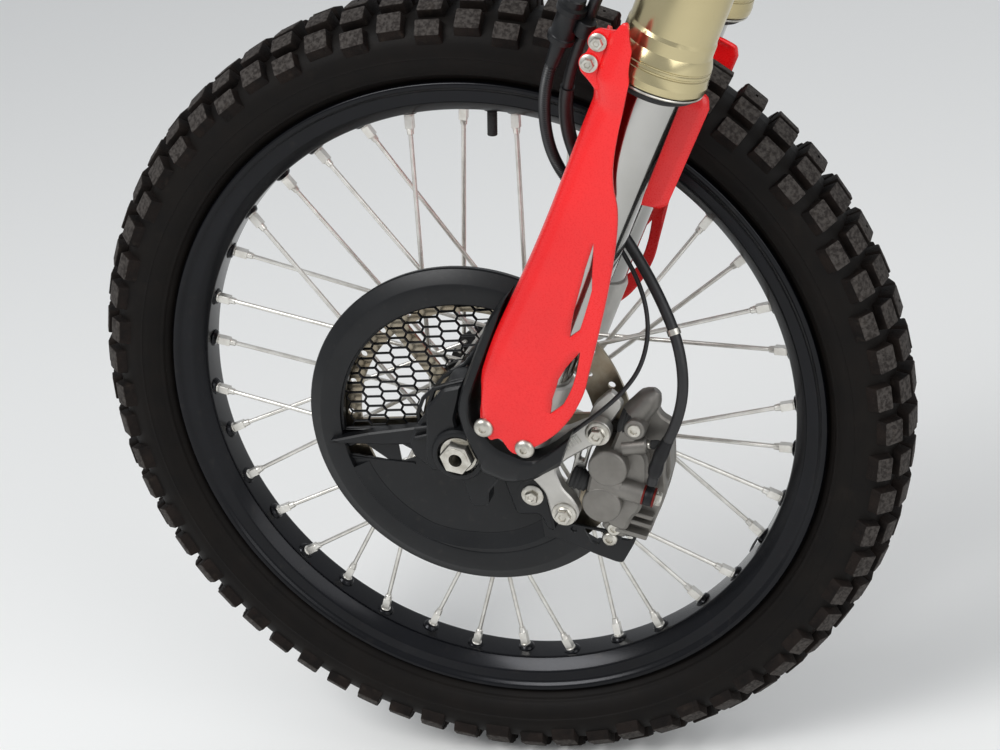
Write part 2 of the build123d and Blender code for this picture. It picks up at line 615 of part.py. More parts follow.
# Guards: a channel round the front of each inner tube, open to the rear
# Columns: height up the leg, front, outer wall and inner wall, from the leg's centre
GUARD_STATIONS = (
    (39, 33, 32.5, 24),
    (62, 39.5, 34, 25),
    (110, 41.7, 35, 26),
    (165, 38.5, 35, 27),
    (235, 34.5, 34, 36),
    (325, 33.5, 35, 36),
    (348, 42.5, 41.5, 41),
    (396, 42.5, 41.5, 41),
)
GUARD_CORNER = 19.0
GUARD_REAR = 60.0
OUTER_EDGE = ((-30, 400), (-14, 358), (-6, 310), (0, 272), (16, 240), (33, 157), (40, 110), (37, 80),
              (22, 45), (14, 30), (80, 30), (80, 400))
INNER_EDGE = ((-20, 30), (-20, 225), (-12, 238), (38, 243), (38, 338), (20, 400), (80, 400), (80, 30))
SLOT_ONE = ((5.4, 226.4), (7.2, 225.6), (16.4, 193.2), (19.0, 158.7), (14.0, 150.0), (9.4, 172.1),
            (6.3, 206.0))
SLOT_TWO = ((25.0, 141.6), (29.3, 117.9), (27.9, 93.8), (21.3, 81.9), (17.4, 112.1), (20.8, 130.4))
EAR = ((-38, 384), (-45, 382), (-51, 372), (-47.5, 362.6), (-51, 354), (-46, 345), (-38, 340))
EAR_BOLTS = ((-42.8, 371.5), (-43.6, 354.7))
EAR_Y = 125.0
with BuildPart() as guard_left:
    for height, front, out, inward in GUARD_STATIONS:
        with BuildSketch(leg_plane(-1, height)):
            with Locations(((GUARD_REAR - front) / 2, (inward - out) / 2)):
                outside = Rectangle(GUARD_REAR + front, out + inward)
            fillet(outside.vertices().sort_by(Axis.X)[:2], GUARD_CORNER)
    loft(ruled=True)
    for height, front, out, inward in GUARD_STATIONS:
        with BuildSketch(leg_plane(-1, height)):
            with Locations(((GUARD_REAR - front) / 2 + GUARD_WALL, (inward - out) / 2)):
                inside = Rectangle(GUARD_REAR + front, out + inward - 2 * GUARD_WALL)
            fillet(inside.vertices().sort_by(Axis.X)[:2], GUARD_CORNER - GUARD_WALL)
    loft(ruled=True, mode=Mode.SUBTRACT)
    with BuildSketch(fork_plane(-LEG_Y)):
        Polygon(*OUTER_EDGE, align=None)
        Polygon(*SLOT_ONE, align=None)
        Polygon(*SLOT_TWO, align=None)
        with Locations(*GUARD_BOLTS):
            Circle(3.2)
    extrude(amount=60, mode=Mode.SUBTRACT)
    with BuildSketch(fork_plane(-LEG_Y)):
        Polygon(*INNER_EDGE, align=None)
    extrude(amount=-60, mode=Mode.SUBTRACT)
    with BuildSketch(fork_plane(-EAR_Y)):
        Polygon(*EAR, align=None)
        with Locations(*EAR_BOLTS):
            Circle(3.2, mode=Mode.SUBTRACT)
    extrude(amount=-4)
finish(guard_left, "guard_left")
with BuildPart() as guard_right:
    mirror(guard_left.part, about=Plane.XZ)
finish(guard_right, "guard_right")


def wheel_point(x, y, z):
    """A point from the axle's middle: to the rear, to the right and up."""
    return AXLE + Vector(x, y, z)


# Disc cover: a dished shield round the disc's outer side, cut away behind the leg
# Columns of its section: distance left of the wheel's middle, radius
COVER_FACE = COVER_Y + COVER_WALL + 3.5
COVER_HUB_R = 46.0
WINDOW_R = 111.0
COVER_SECTION = (
    (COVER_Y - 5, COVER_R - COVER_WALL),
    (COVER_Y - 5, COVER_R),
    (COVER_Y + 1.5, COVER_R),
    (COVER_FACE, COVER_R - 15),
    (COVER_FACE, WINDOW_R + 1),
    (COVER_FACE - 2.5, WINDOW_R - 1),
    (COVER_FACE - 2.5, COVER_HUB_R - 18),
    (COVER_FACE - 2.5 - COVER_WALL, COVER_HUB_R - 18),
    (COVER_FACE - 2.5 - COVER_WALL, WINDOW_R),
    (COVER_FACE - COVER_WALL, WINDOW_R + 2),
    (COVER_FACE - COVER_WALL, COVER_R - 16),
    (COVER_Y + 1, COVER_R - COVER_WALL),
)
COVER_CUT = ((38, 0), (52, -40), (52, -72), (58, -90), (96, -93), (220, -93), (220, 220), (157, 220))
GRILLE_SEAT = 0.2
BAND_R = 97.0            # raised band round the lower half
BAND_WIDTH = 14.0
BRACED_SLOT = ((-117, -13), (-100, -9), (-66, -11), (-48, -26), (-66, -28), (-112, -19))
SLOT_BRACE = ((-80, -9), (-74, -9), (-70, -30), (-76, -30))
TAIL_BOLT = (102.4, -98.4)
TAIL_BOLT_R = 5.0
MOUNT_PAD_Y = 80.0       # face of the pad that the lower cover bolt holds
with BuildPart() as disc_cover:
    with BuildSketch(WHEEL_SECTION):
        Polygon(*[(-y, radius) for y, radius in COVER_SECTION], align=None)
    revolve(axis=SPIN)
    with BuildSketch(wheel_plane(-COVER_Y + 20)):
        Polygon(*COVER_CUT, align=None)
    extrude(amount=60, mode=Mode.SUBTRACT)
    with BuildSketch(wheel_plane(-COVER_Y + 20)):
        Circle(WINDOW_R - 1)
        Circle(COVER_HUB_R + 3, mode=Mode.SUBTRACT)
        with Locations((-60, 66)):
            Rectangle(160, 122, mode=Mode.INTERSECT)
    extrude(amount=60, mode=Mode.SUBTRACT)
    with BuildSketch(wheel_plane(-COVER_FACE + COVER_WALL)):
        Polygon((20, -100), (58, -92), (72, -84), (124, -97), (108, -121), (70, -128), (30, -125), align=None)
        Polygon((80, -91), (99, -93), (95, -103), (86, -103), align=None, mode=Mode.SUBTRACT)
        with Locations((TAIL_BOLT[0], TAIL_BOLT[1])):
            Circle(TAIL_BOLT_R + 3)
            Circle(TAIL_BOLT_R, mode=Mode.SUBTRACT)
    extrude(amount=COVER_WALL)
    with BuildSketch(wheel_plane(-COVER_FACE + COVER_WALL)):
        Circle(BAND_R + BAND_WIDTH)
        Circle(BAND_R, mode=Mode.SUBTRACT)
        Polygon((-150, -30), (60, -30), (60, -150), (-150, -150), align=None, mode=Mode.INTERSECT)
    extrude(amount=COVER_WALL)
    with BuildSketch(wheel_plane(-COVER_Y + 20)):
        Polygon(*BRACED_SLOT, align=None)
    extrude(amount=60, mode=Mode.SUBTRACT)
    with BuildSketch(wheel_plane(-COVER_FACE + COVER_WALL)):
        Polygon(*SLOT_BRACE, align=None)
    extrude(amount=COVER_WALL)
    with BuildSketch(wheel_plane(-COVER_FACE + COVER_WALL)):
        Polygon((22, -40), (52, -40), (58, -88), (48, -72), (28, -72), align=None)
    extrude(amount=MOUNT_PAD_Y - COVER_FACE + COVER_WALL)
finish(disc_cover, "disc_cover")

# Cover grille: flat sheet with long hexagonal holes, behind the cover's window
GRILLE_THICKNESS = 1.5
CELL_LENGTH = 13.5
CELL_HEIGHT = 7.6
CELL_GAP = 1.7
GRILLE_FACE = COVER_FACE - 2.5 - COVER_WALL - GRILLE_SEAT


def hexagon_cell():
    """One long hexagonal hole, pointed to the front and the rear."""
    half = CELL_LENGTH / 2
    flat = half - CELL_HEIGHT / 2 * 0.62
    rise = CELL_HEIGHT / 2
    return Polygon((half, 0), (flat, rise), (-flat, rise), (-half, 0), (-flat, -rise), (flat, -rise),
                   align=None, mode=Mode.SUBTRACT)


CELL_PITCH_X = CELL_LENGTH * 2 - CELL_HEIGHT * 0.62 + 2 * CELL_GAP
CELL_PITCH_Z = CELL_HEIGHT + CELL_GAP
with BuildPart() as cover_grille:
    with BuildSketch(wheel_plane(-GRILLE_FACE + GRILLE_THICKNESS)):
        Circle(WINDOW_R + 3)
        Circle(COVER_HUB_R, mode=Mode.SUBTRACT)
        with Locations((-60, 66)):
            Rectangle(166, 128, mode=Mode.INTERSECT)
        with Locations((-52, 56)):
            with GridLocations(CELL_PITCH_X, CELL_PITCH_Z, 4, 11):
                hexagon_cell()
        with Locations((-52 + CELL_PITCH_X / 2, 56 + CELL_PITCH_Z / 2)):
            with GridLocations(CELL_PITCH_X, CELL_PITCH_Z, 4, 11):
                hexagon_cell()
    extrude(amount=GRILLE_THICKNESS)
finish(cover_grille, "cover_grille")

# Cover shield: the boss round the axle nut and the collar that hugs the leg's foot
COLLAR_INNER = ((-42.6, 151), (-42.6, 64), (-40, 50), (-35.5, 39), (-22, 30), (-5, 23.6), (12, 23.6),
                (21, 27), (30, 39), (41, 61))
COLLAR_OUTER = ((42, 28), (34, 17), (25, 5), (3, -6), (-11.4, -6.3), (-21.6, 3.6), (-39.5, 24.5), (-50, 44),
                (-51.5, 62), (-51, 119), (-43, 148))
COLLAR_FACE = 118.0
COLLAR_BACK = 105.0
NUT_RECESS_R = 16.5
BOSS_FACE = 112.0
with BuildPart() as cover_shield:
    with BuildSketch(fork_plane(-COLLAR_BACK)):
        Polygon(*COLLAR_INNER, *COLLAR_OUTER, align=None)
    extrude(amount=COLLAR_FACE - COLLAR_BACK)
    with BuildSketch(wheel_plane(-COLLAR_BACK)):
        Circle(NUT_RECESS_R + 6)
    extrude(amount=BOSS_FACE - COLLAR_BACK)
    with BuildSketch(wheel_plane(-COVER_FACE)):
        Polygon((-47, 3), (-26, 31), (-5, 57), (6, 58), (6, 40), (-8, 24), (-23, 8), (-24, -12), (-40, -20),
                align=None)
    extrude(amount=COLLAR_BACK + 3 - COVER_FACE)
    with BuildSketch(wheel_plane(-COLLAR_BACK)):
        Polygon((-40, -20), (-26, 31), (-5, 57), (6, 44), (8, 18), (4, -22), align=None)
    extrude(amount=3)
    with BuildSketch(wheel_plane(-COVER_FACE)):
        Circle(AXLE_BOSS_R + 0.5)
    extrude(amount=COLLAR_BACK - 0.5 - COVER_FACE, mode=Mode.SUBTRACT)
    with BuildSketch(wheel_plane(-COVER_FACE)):
        Circle(NUT_RECESS_R)
    extrude(amount=COLLAR_FACE, mode=Mode.SUBTRACT)
    with BuildSketch(wheel_plane(-COVER_FACE)):
        Polygon((-122, 0), (-107, 5), (-44, 9), (-42, -8), align=None)
    extrude(amount=9)
finish(cover_shield, "cover_shield")

# Caliper: its own plane has x away from the axle and y along the disc's rim, upwards
CALIPER_REACH = 117.0
CALIPER_TURN = -20.0     # below the level of the axle, degrees
CALIPER_FACE = 95.0
CALIPER_PISTON_GAP = 33.4
CALIPER_PISTON_R = 16.0
PAD_GAP = 0.5
PAD_THICKNESS = 5.5
PAD_LENGTH = 76.0
CALIPER_LEFT = DISC_Y + DISC_THICKNESS / 2 + PAD_GAP + PAD_THICKNESS
CALIPER_RIGHT = DISC_Y - DISC_THICKNESS / 2 - PAD_GAP - PAD_THICKNESS
CALIPER_FINGER = 9.0
CALIPER_POINT = AXLE + Vector(cos(radians(CALIPER_TURN)), 0, sin(radians(CALIPER_TURN))) * CALIPER_REACH


def caliper_plane(y):
    """Side view of the caliper at a distance left of the middle."""
    outwards = Vector(cos(radians(CALIPER_TURN)), 0, sin(radians(CALIPER_TURN)))
    return Plane(origin=CALIPER_POINT - Vector(0, y, 0), x_dir=outwards, z_dir=LEFT)


def across_caliper(reach, height, y, lift):
    """Square to the caliper's plane: z points away from the axle, tilted upwards by an angle."""
    side = caliper_plane(y)
    outwards = side.x_dir * cos(radians(lift)) + side.y_dir * sin(radians(lift))
    return Plane(origin=side.origin + side.x_dir * reach + side.y_dir * height, x_dir=LEFT, z_dir=outwards)


# Bosses of the caliper: away from the axle, up the rim, radius and face
CALIPER_BOSSES = (
    (0, CALIPER_PISTON_GAP / 2, CALIPER_PISTON_R, CALIPER_FACE),
    (0, -CALIPER_PISTON_GAP / 2, CALIPER_PISTON_R, CALIPER_FACE),
    (0, 0, 10, CALIPER_FACE - 2),
    (11.8, 56.6, 8, CALIPER_FACE - 3),
    (12, 60, 12, CALIPER_FACE - 12),
    (17, 73, 9, CALIPER_FACE - 21),
)
BANJO_Y = 86.0
BANJO_BOSS_R = 8.8
BANJO_SEAT = 30.0        # end of the hose's boss, away from the pistons
BLEED_LIFT = 24.0        # slope of the bleed screw's boss, degrees
FIN_GROOVES = (-21.0, -33.5)
with BuildPart() as caliper_body:
    with BuildSketch(caliper_plane(CALIPER_LEFT)):
        Polygon((-13, -28), (-4, -36), (14, -46), (42, -44), (42, -27), (47, -1), (41, 13), (37, 46),
                (38, 62), (24, 66), (10, 78), (3, 72), (1, 32), (-14, 24), align=None)
    extrude(amount=CALIPER_FACE - 18 - CALIPER_LEFT)
    for reach, height, radius, face in CALIPER_BOSSES:
        with BuildSketch(caliper_plane(CALIPER_LEFT)):
            with Locations((reach, height)):
                Circle(radius)
        extrude(amount=face - CALIPER_LEFT)
    with BuildSketch(caliper_plane(CALIPER_LEFT)):
        Polygon((-4, 30), (12, 30), (22, 48), (18, 62), (4, 60), (0, 44), align=None)
    extrude(amount=CALIPER_FACE - 6 - CALIPER_LEFT)
    with BuildSketch(across_caliper(4, 0, BANJO_Y, 0)):
        Circle(BANJO_BOSS_R)
    extrude(amount=BANJO_SEAT - 4)
    with BuildSketch(across_caliper(10, 38, BANJO_Y, BLEED_LIFT)):
        Circle(6.5)
    extrude(amount=16)
    for height in FIN_GROOVES:
        with BuildSketch(caliper_plane(CALIPER_FACE - 20)):
            with Locations((32, height)):
                Rectangle(30, 6)
        extrude(amount=10, mode=Mode.SUBTRACT)
    with BuildSketch(caliper_plane(CALIPER_RIGHT - CALIPER_FINGER)):
        Polygon((20, -36), (45, -28), (46, 12), (38, 44), (20, 48), align=None)
    extrude(amount=CALIPER_LEFT - CALIPER_RIGHT + CALIPER_FINGER)
    with BuildSketch(caliper_plane(CALIPER_RIGHT - CALIPER_FINGER)):
        Polygon((-12, -34), (20, -36), (20, 48), (-12, 38), align=None)
    extrude(amount=CALIPER_FINGER)
finish(caliper_body, "caliper_body")

# Brake pads, one on each side of the disc
with BuildPart() as brake_pads:
    for low in (CALIPER_RIGHT + SEAT_CLEARANCE, CALIPER_LEFT - PAD_THICKNESS - SEAT_CLEARANCE):
        with BuildSketch(caliper_plane(low)):
            with Locations((2, 3)):
                RectangleRounded(30, PAD_LENGTH, 4)
        extrude(amount=PAD_THICKNESS)
finish(brake_pads, "brake_pads")

# Caliper bracket, on the casting's two lugs
BRACKET_Y = LUG_INNER_Y - 8
with BuildPart() as caliper_bracket:
    with BuildSketch(fork_plane(-BRACKET_Y)):
        Polygon((CALIPER_LUG_T - 12, -33), (CALIPER_LUG_T + 8, -33), (CALIPER_LUG_T + 3, 0),
                (CALIPER_LUG_T - 1, 36), (CALIPER_LUG_T + 5, 60), (CALIPER_LUG_T + 10, 84),
                (CALIPER_LUG_T - 4, 92), (CALIPER_LUG_T - 12, 74), (CALIPER_LUG_T - 12, 40), align=None)
    extrude(amount=8)
    with BuildSketch(fork_plane(-BRACKET_Y)):
        with Locations(*[(CALIPER_LUG_T, height) for height in CALIPER_LUGS]):
            Circle(LUG_HOLE_R)
    extrude(amount=8, mode=Mode.SUBTRACT)
finish(caliper_bracket, "caliper_bracket")

# Bracket bolts: flanged hexagons with their shanks through the lugs
with BuildPart() as bracket_bolts:
    with BuildSketch(fork_plane(-LUG_OUTER_Y)):
        with Locations(*[(CALIPER_LUG_T, height) for height in CALIPER_LUGS]):
            Circle(9.0)
    extrude(amount=1.6)
    with BuildSketch(fork_plane(-LUG_OUTER_Y - 1.6)):
        with Locations(*[(CALIPER_LUG_T, height) for height in CALIPER_LUGS]):
            RegularPolygon(6, 6, major_radius=False)
    extrude(amount=6)
    with BuildSketch(fork_plane(-BRACKET_Y)):
        with Locations(*[(CALIPER_LUG_T, height) for height in CALIPER_LUGS]):
            Circle(LUG_HOLE_R - SEAT_CLEARANCE)
    extrude(amount=LUG_OUTER_Y - BRACKET_Y)
finish(bracket_bolts, "bracket_bolts")


def cord(points, radius):
    """A plain tube along straight runs and tangent arcs, as large as each corner's runs allow."""
    runs = [b - a for a, b in zip(points, points[1:])]
    radii = []
    for before, after in zip(runs, runs[1:]):
        turn = before.get_angle(after)
        radii.append(0.45 * min(before.length, after.length) / tan(radians(turn) / 2))
    print("arc radii", [round(value, 1) for value in radii])
    with BuildPart() as tube:
        with BuildLine() as path:
            FilletPolyline(*points, radius=radii)
        with BuildSketch(Plane(origin=points[0], z_dir=runs[0])):
            Circle(radius)
        sweep(path=path.wires()[0])
    return tube


# Brake hose: from the caliper, behind the leg, through to its front and up to the clamps
HOSE_R = 4.5
HOSE_POINTS = [wheel_point(*point) for point in (
    (148, -90.5, -38), (158, -95, -12), (177, -99, 18), (187, -99, 50), (185, -92, 85), (172, -80, 118),
    (155, -67, 148), (134, -56.5, 182), (119, -56.5, 217), (116, -66, 252), (127, -84, 290), (154, -100, 340),
    (190, -107, 395), (222, -107, 452), (254, -106, 512), (284, -102, 566), (312, -92, 612), (340, -81, 655),
    (372, -72, 694), (408, -68, 726),
)]
brake_hose = cord(HOSE_POINTS, HOSE_R)
finish(brake_hose, "brake_hose")

# Hose banjo: an eye against the caliper's boss, its hollow bolt and the neck that the hose is crimped to
EYE_LENGTH = 10.0
NECK_REACH = 10.0
with BuildPart() as hose_banjo:
    with BuildSketch(across_caliper(BANJO_SEAT, 0, BANJO_Y, 0)):
        Circle(BANJO_BOSS_R - 1)
    extrude(amount=EYE_LENGTH)
    with BuildSketch(across_caliper(BANJO_SEAT + EYE_LENGTH, 0, BANJO_Y, 0)):
        RegularPolygon(5.5, 6, major_radius=False)
    extrude(amount=5)
    with BuildSketch(Plane(origin=HOSE_POINTS[0], z_dir=HOSE_POINTS[0] - HOSE_POINTS[1])):
        Circle(HOSE_R)
    extrude(amount=NECK_REACH)
finish(hose_banjo, "hose_banjo")

# Sensor cable: the same way, thinner
CABLE_R = 2.0
CABLE_POINTS = [wheel_point(*point) for point in (
    (66, -97.2, -7), (80, -97.9, 4), (98, -99, 16), (118, -100, 30), (138, -99, 46), (153, -95, 63), (161, -89, 84),
    (162, -82, 106), (156, -73, 127), (145, -64, 147), (131, -57, 170), (114, -56, 194), (103, -58, 216),
    (101, -68, 240), (106, -82, 270), (116, -94, 298), (132, -101, 326),
)]
sensor_cable = cord(CABLE_POINTS, CABLE_R)
finish(sensor_cable, "sensor_cable")

# Wheel speed sensor: a small body on the casting's web, in line with the cable that leaves it
SENSOR_R = 4.4
SENSOR_LENGTH = 16.0
with BuildPart() as speed_sensor:
    with BuildSketch(Plane(origin=CABLE_POINTS[0], z_dir=CABLE_POINTS[0] - CABLE_POINTS[1])):
        Circle(SENSOR_R)
    extrude(amount=SENSOR_LENGTH)
finish(speed_sensor, "speed_sensor")
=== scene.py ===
import json
import logging
from dataclasses import dataclass
from enum import Enum
from math import cos, pi, radians, sin

import bmesh
import bpy
import numpy as np
from mathutils import Matrix, Vector
from mathutils.geometry import tessellate_polygon


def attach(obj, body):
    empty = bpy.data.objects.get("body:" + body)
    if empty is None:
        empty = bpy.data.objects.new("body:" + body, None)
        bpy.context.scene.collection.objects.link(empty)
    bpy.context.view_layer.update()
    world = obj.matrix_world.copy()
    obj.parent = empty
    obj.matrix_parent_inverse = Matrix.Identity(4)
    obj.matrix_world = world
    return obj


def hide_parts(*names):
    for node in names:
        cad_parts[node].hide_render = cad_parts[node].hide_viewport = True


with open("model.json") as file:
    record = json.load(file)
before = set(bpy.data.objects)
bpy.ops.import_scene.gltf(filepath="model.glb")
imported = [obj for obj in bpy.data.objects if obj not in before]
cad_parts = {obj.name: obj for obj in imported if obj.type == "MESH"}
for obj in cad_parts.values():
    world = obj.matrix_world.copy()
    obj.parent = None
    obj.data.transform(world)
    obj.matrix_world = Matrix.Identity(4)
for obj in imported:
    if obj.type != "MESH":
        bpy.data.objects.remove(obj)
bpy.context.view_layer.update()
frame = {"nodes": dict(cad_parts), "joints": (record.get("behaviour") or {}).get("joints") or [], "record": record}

MM = 0.001
Array = np.ndarray
log = logging.getLogger("front_fork")


class Body(Enum):
    """The two bodies that pieces ride on."""

    WHEEL = "wheel"
    FORK = "fork"


class Side(Enum):
    """A side of the motorcycle, as the sign of its distance to the rider's right."""

    LEFT = -1
    RIGHT = 1


# Axes and measures

@dataclass(frozen=True)
class Datum:
    """A set of drawing axes: an origin in millimetres and three unit directions."""

    origin: tuple
    a: tuple
    b: tuple
    c: tuple

    def at(self, points: Array) -> Array:
        """Turns points along the three directions into the part's own axes.

        The place is the origin plus each coordinate times its direction.

        Args:
            points: coordinates along a, b and c, in the last axis of the array.

        Returns:
            The same points in the part's millimetres.
        """
        return np.asarray(self.origin, float) + np.asarray(points, float) @ np.array((self.a, self.b, self.c))


@dataclass(frozen=True)
class Layout:
    """Where the wheel and the legs stand, as in the drawing of the part."""

    rake: float = 28.0
    axle_lead: float = 35.4
    leg_spacing: float = 196.0

    @property
    def axle(self) -> Array:
        """The middle of the axle, in millimetres."""
        return np.array(frame["joints"][0]["pos_m"]) / MM

    @property
    def up_leg(self) -> Array:
        """The direction up the legs."""
        return np.array((sin(radians(self.rake)), 0.0, cos(radians(self.rake))))

    @property
    def behind(self) -> Array:
        """The direction square to the legs, to the rear."""
        return np.array((cos(radians(self.rake)), 0.0, -sin(radians(self.rake))))

    def wheel(self) -> Datum:
        """Side view of the wheel: to the rear, up and left of its middle."""
        return Datum(tuple(self.axle), (1, 0, 0), (0, 0, 1), (0, -1, 0))

    def fork(self) -> Datum:
        """Side view of the legs: behind their centres, up them, and left of the middle."""
        return Datum(tuple(self.axle + self.behind * self.axle_lead), tuple(self.behind), tuple(self.up_leg),
                     (0, -1, 0))

    def leg(self, side: Side) -> Datum:
        """Along a leg: behind its centre, to the rider's left, and up it."""
        foot = self.axle + self.behind * self.axle_lead + np.array((0, side.value * self.leg_spacing / 2, 0))
        return Datum(tuple(foot), tuple(self.behind), (0, -1, 0), tuple(self.up_leg))

    def caliper(self, reach: float = 117.0, turn: float = -20.0) -> Datum:
        """Side view of the caliper: away from the axle, along the disc's rim, and left of the middle."""
        out = np.array((cos(radians(turn)), 0.0, sin(radians(turn))))
        return Datum(tuple(self.axle + out * reach), tuple(out), (-out[2], 0, out[0]), (0, -1, 0))


LAYOUT = Layout()
WHEEL = LAYOUT.wheel()
FORK = LAYOUT.fork()
CALIPER = LAYOUT.caliper()


# Materials

def linear(code: str) -> tuple:
    """An sRGB colour such as "a1b2c3" as linear RGBA: each channel by the sRGB curve."""
    value = np.array([int(code[i:i + 2], 16) / 255 for i in (0, 2, 4)])
    return (*np.where(value <= 0.04045, value / 12.92, ((value + 0.055) / 1.055) ** 2.4).tolist(), 1.0)


def add(tree: bpy.types.NodeTree, kind: str, settings: dict | None = None, **links: object) -> bpy.types.Node:
    """Adds one node with its settings and links.

    Args:
        tree: the node tree.
        kind: the node's type name without "ShaderNode".
        settings: the node's own properties by name.
        links: what goes to each input, named with underscores for spaces and i0, i1 for a number: a socket is
            linked and anything else is the input's value.

    Returns:
        The new node.
    """
    node = tree.nodes.new("ShaderNode" + kind)
    for name, value in (settings or {}).items():
        setattr(node, name, value)
    for name, value in links.items():
        key = int(name[1:]) if name[0] == "i" and name[1:].isdigit() else name.replace("_", " ")
        if isinstance(value, bpy.types.NodeSocket):
            tree.links.new(value, node.inputs[key])
        else:
            node.inputs[key].default_value = value
    return node


@dataclass(frozen=True)
class Finish:
    """A surface finish: what the material is and how its surface was made.

    Sizes are in millimetres. Patches are slow changes of tone, grain is the fine relief of the surface, and dust is
    what lies on it in loose clouds.
    """

    name: str
    colour: str
    shade: str
    metallic: float = 0.0
    rough: tuple = (0.4, 0.6)
    patch: float = 40.0
    grain: float = 1.0
    relief: float = 0.1
    stretch: tuple = (1.0, 1.0, 1.0)
    dust: str = "8b8272"
    dust_cover: float = 0.0
    dust_patch: float = 18.0
    coat: float = 0.0
    gloss: float = 0.5

    def material(self) -> bpy.types.Material:
        """The material, made once and then reused.

        Returns:
            The material with this finish's name.
        """
        material = bpy.data.materials.get(self.name)
        if material is None:
            material = bpy.data.materials.new(self.name)
            material.use_nodes = True
            material.node_tree.nodes.clear()
            self.draw(material.node_tree)
        return material

    def noise(self, tree: bpy.types.NodeTree, size: float, stretch: tuple = (1.0, 1.0, 1.0), detail: float = 3.0,
              shift: float = 0.0) -> bpy.types.NodeSocket:
        """Noise whose cells are about a size in millimetres across, stretched along the axes.

        Args:
            tree: the node tree.
            size: the width of a cell in millimetres.
            stretch: how many times as fine the cells are along each axis.
            detail: how many finer layers are added.
            shift: moves the pattern, so that two of them differ.

        Returns:
            The noise's value, about 0.5 in the middle.
        """
        place = add(tree, "TexCoord").outputs["Object"]
        scaled = add(tree, "Mapping", Vector=place, Location=(shift, shift, shift),
                     Scale=tuple(part / (size * MM) for part in stretch)).outputs["Vector"]
        return add(tree, "TexNoise", Vector=scaled, Scale=1.0, Detail=detail, Roughness=0.6).outputs["Fac"]

    def ramp(self, tree: bpy.types.NodeTree, value: bpy.types.NodeSocket, low: float, high: float,
             to: tuple = (0.0, 1.0)) -> bpy.types.NodeSocket:
        """A value stretched from one span to another, held at the ends."""
        return add(tree, "MapRange", Value=value, From_Min=low, From_Max=high, To_Min=to[0],
                   To_Max=to[1]).outputs["Result"]

    def mix(self, tree: bpy.types.NodeTree, share: bpy.types.NodeSocket, first: object,
            second: object) -> bpy.types.NodeSocket:
        """Two colours mixed by a share."""
        return add(tree, "Mix", {"data_type": "RGBA"}, i0=share, i6=first, i7=second).outputs[2]

    def colours(self, tree: bpy.types.NodeTree) -> bpy.types.NodeSocket:
        """The surface colour: the base tone broken by patches."""
        share = self.ramp(tree, self.noise(tree, self.patch), 0.35, 0.65)
        return self.mix(tree, share, linear(self.colour), linear(self.shade))

    def dirt(self, tree: bpy.types.NodeTree) -> bpy.types.NodeSocket:
        """How much dust covers the surface: clouds of grains."""
        clouds = self.noise(tree, self.dust_patch, detail=6.0, shift=3.1)
        return self.ramp(tree, clouds, 0.62 - 0.3 * self.dust_cover, 0.86 - 0.3 * self.dust_cover,
                         (0.0, min(1.0, self.dust_cover)))

    def draw(self, tree: bpy.types.NodeTree) -> None:
        """Puts the whole finish into a node tree.

        Args:
            tree: the material's empty tree.
        """
        colour = self.colours(tree)
        fine = self.noise(tree, self.grain, self.stretch, detail=2.0)
        rough = self.ramp(tree, fine, 0.3, 0.7, self.rough)
        if self.dust_cover > 0:
            cover = self.dirt(tree)
            colour = self.mix(tree, cover, colour, linear(self.dust))
            rougher = add(tree, "Math", {"operation": "MAXIMUM"}, i0=rough, i1=cover).outputs[0]
            rough = self.ramp(tree, rougher, 0.0, 1.0)
        relief = add(tree, "Bump", Strength=min(1.0, self.relief * 4), Distance=self.relief * MM,
                     Height=fine).outputs["Normal"]
        shader = add(tree, "BsdfPrincipled", Base_Color=colour, Roughness=rough, Metallic=self.metallic,
                     Normal=relief, Coat_Weight=self.coat, Coat_Roughness=0.15, Specular_IOR_Level=self.gloss)
        add(tree, "OutputMaterial", Surface=shader.outputs[0])


@dataclass(frozen=True)
class TreadFinish(Finish):
    """Rubber whose lug tops are scuffed grey, whose flanks are brown and whose grooves hold dust."""

    top: str = "45413e"
    worn: str = "282422"
    flank: str = "1d1714"
    groove: str = "2a231e"

    def colours(self, tree: bpy.types.NodeTree) -> bpy.types.NodeSocket:
        """The tones of the groove, the flank and the top, mixed by the mesh's own tone and broken by scuffs.

        Args:
            tree: the node tree.

        Returns:
            The surface colour.
        """
        tone = add(tree, "Attribute", {"attribute_name": "tone"}).outputs["Fac"]
        scuff = self.ramp(tree, self.noise(tree, 3.0, detail=6.0), 0.4, 0.6)
        streak = self.ramp(tree, self.noise(tree, 16.0, shift=2.0), 0.35, 0.65)
        top = self.mix(tree, scuff, linear(self.worn), linear(self.top))
        side = self.mix(tree, streak, linear(self.flank), linear(self.shade))
        low = self.mix(tree, self.ramp(tree, tone, 0.0, 0.25), linear(self.groove), side)
        return self.mix(tree, self.ramp(tree, tone, 0.78, 1.0), low, top)


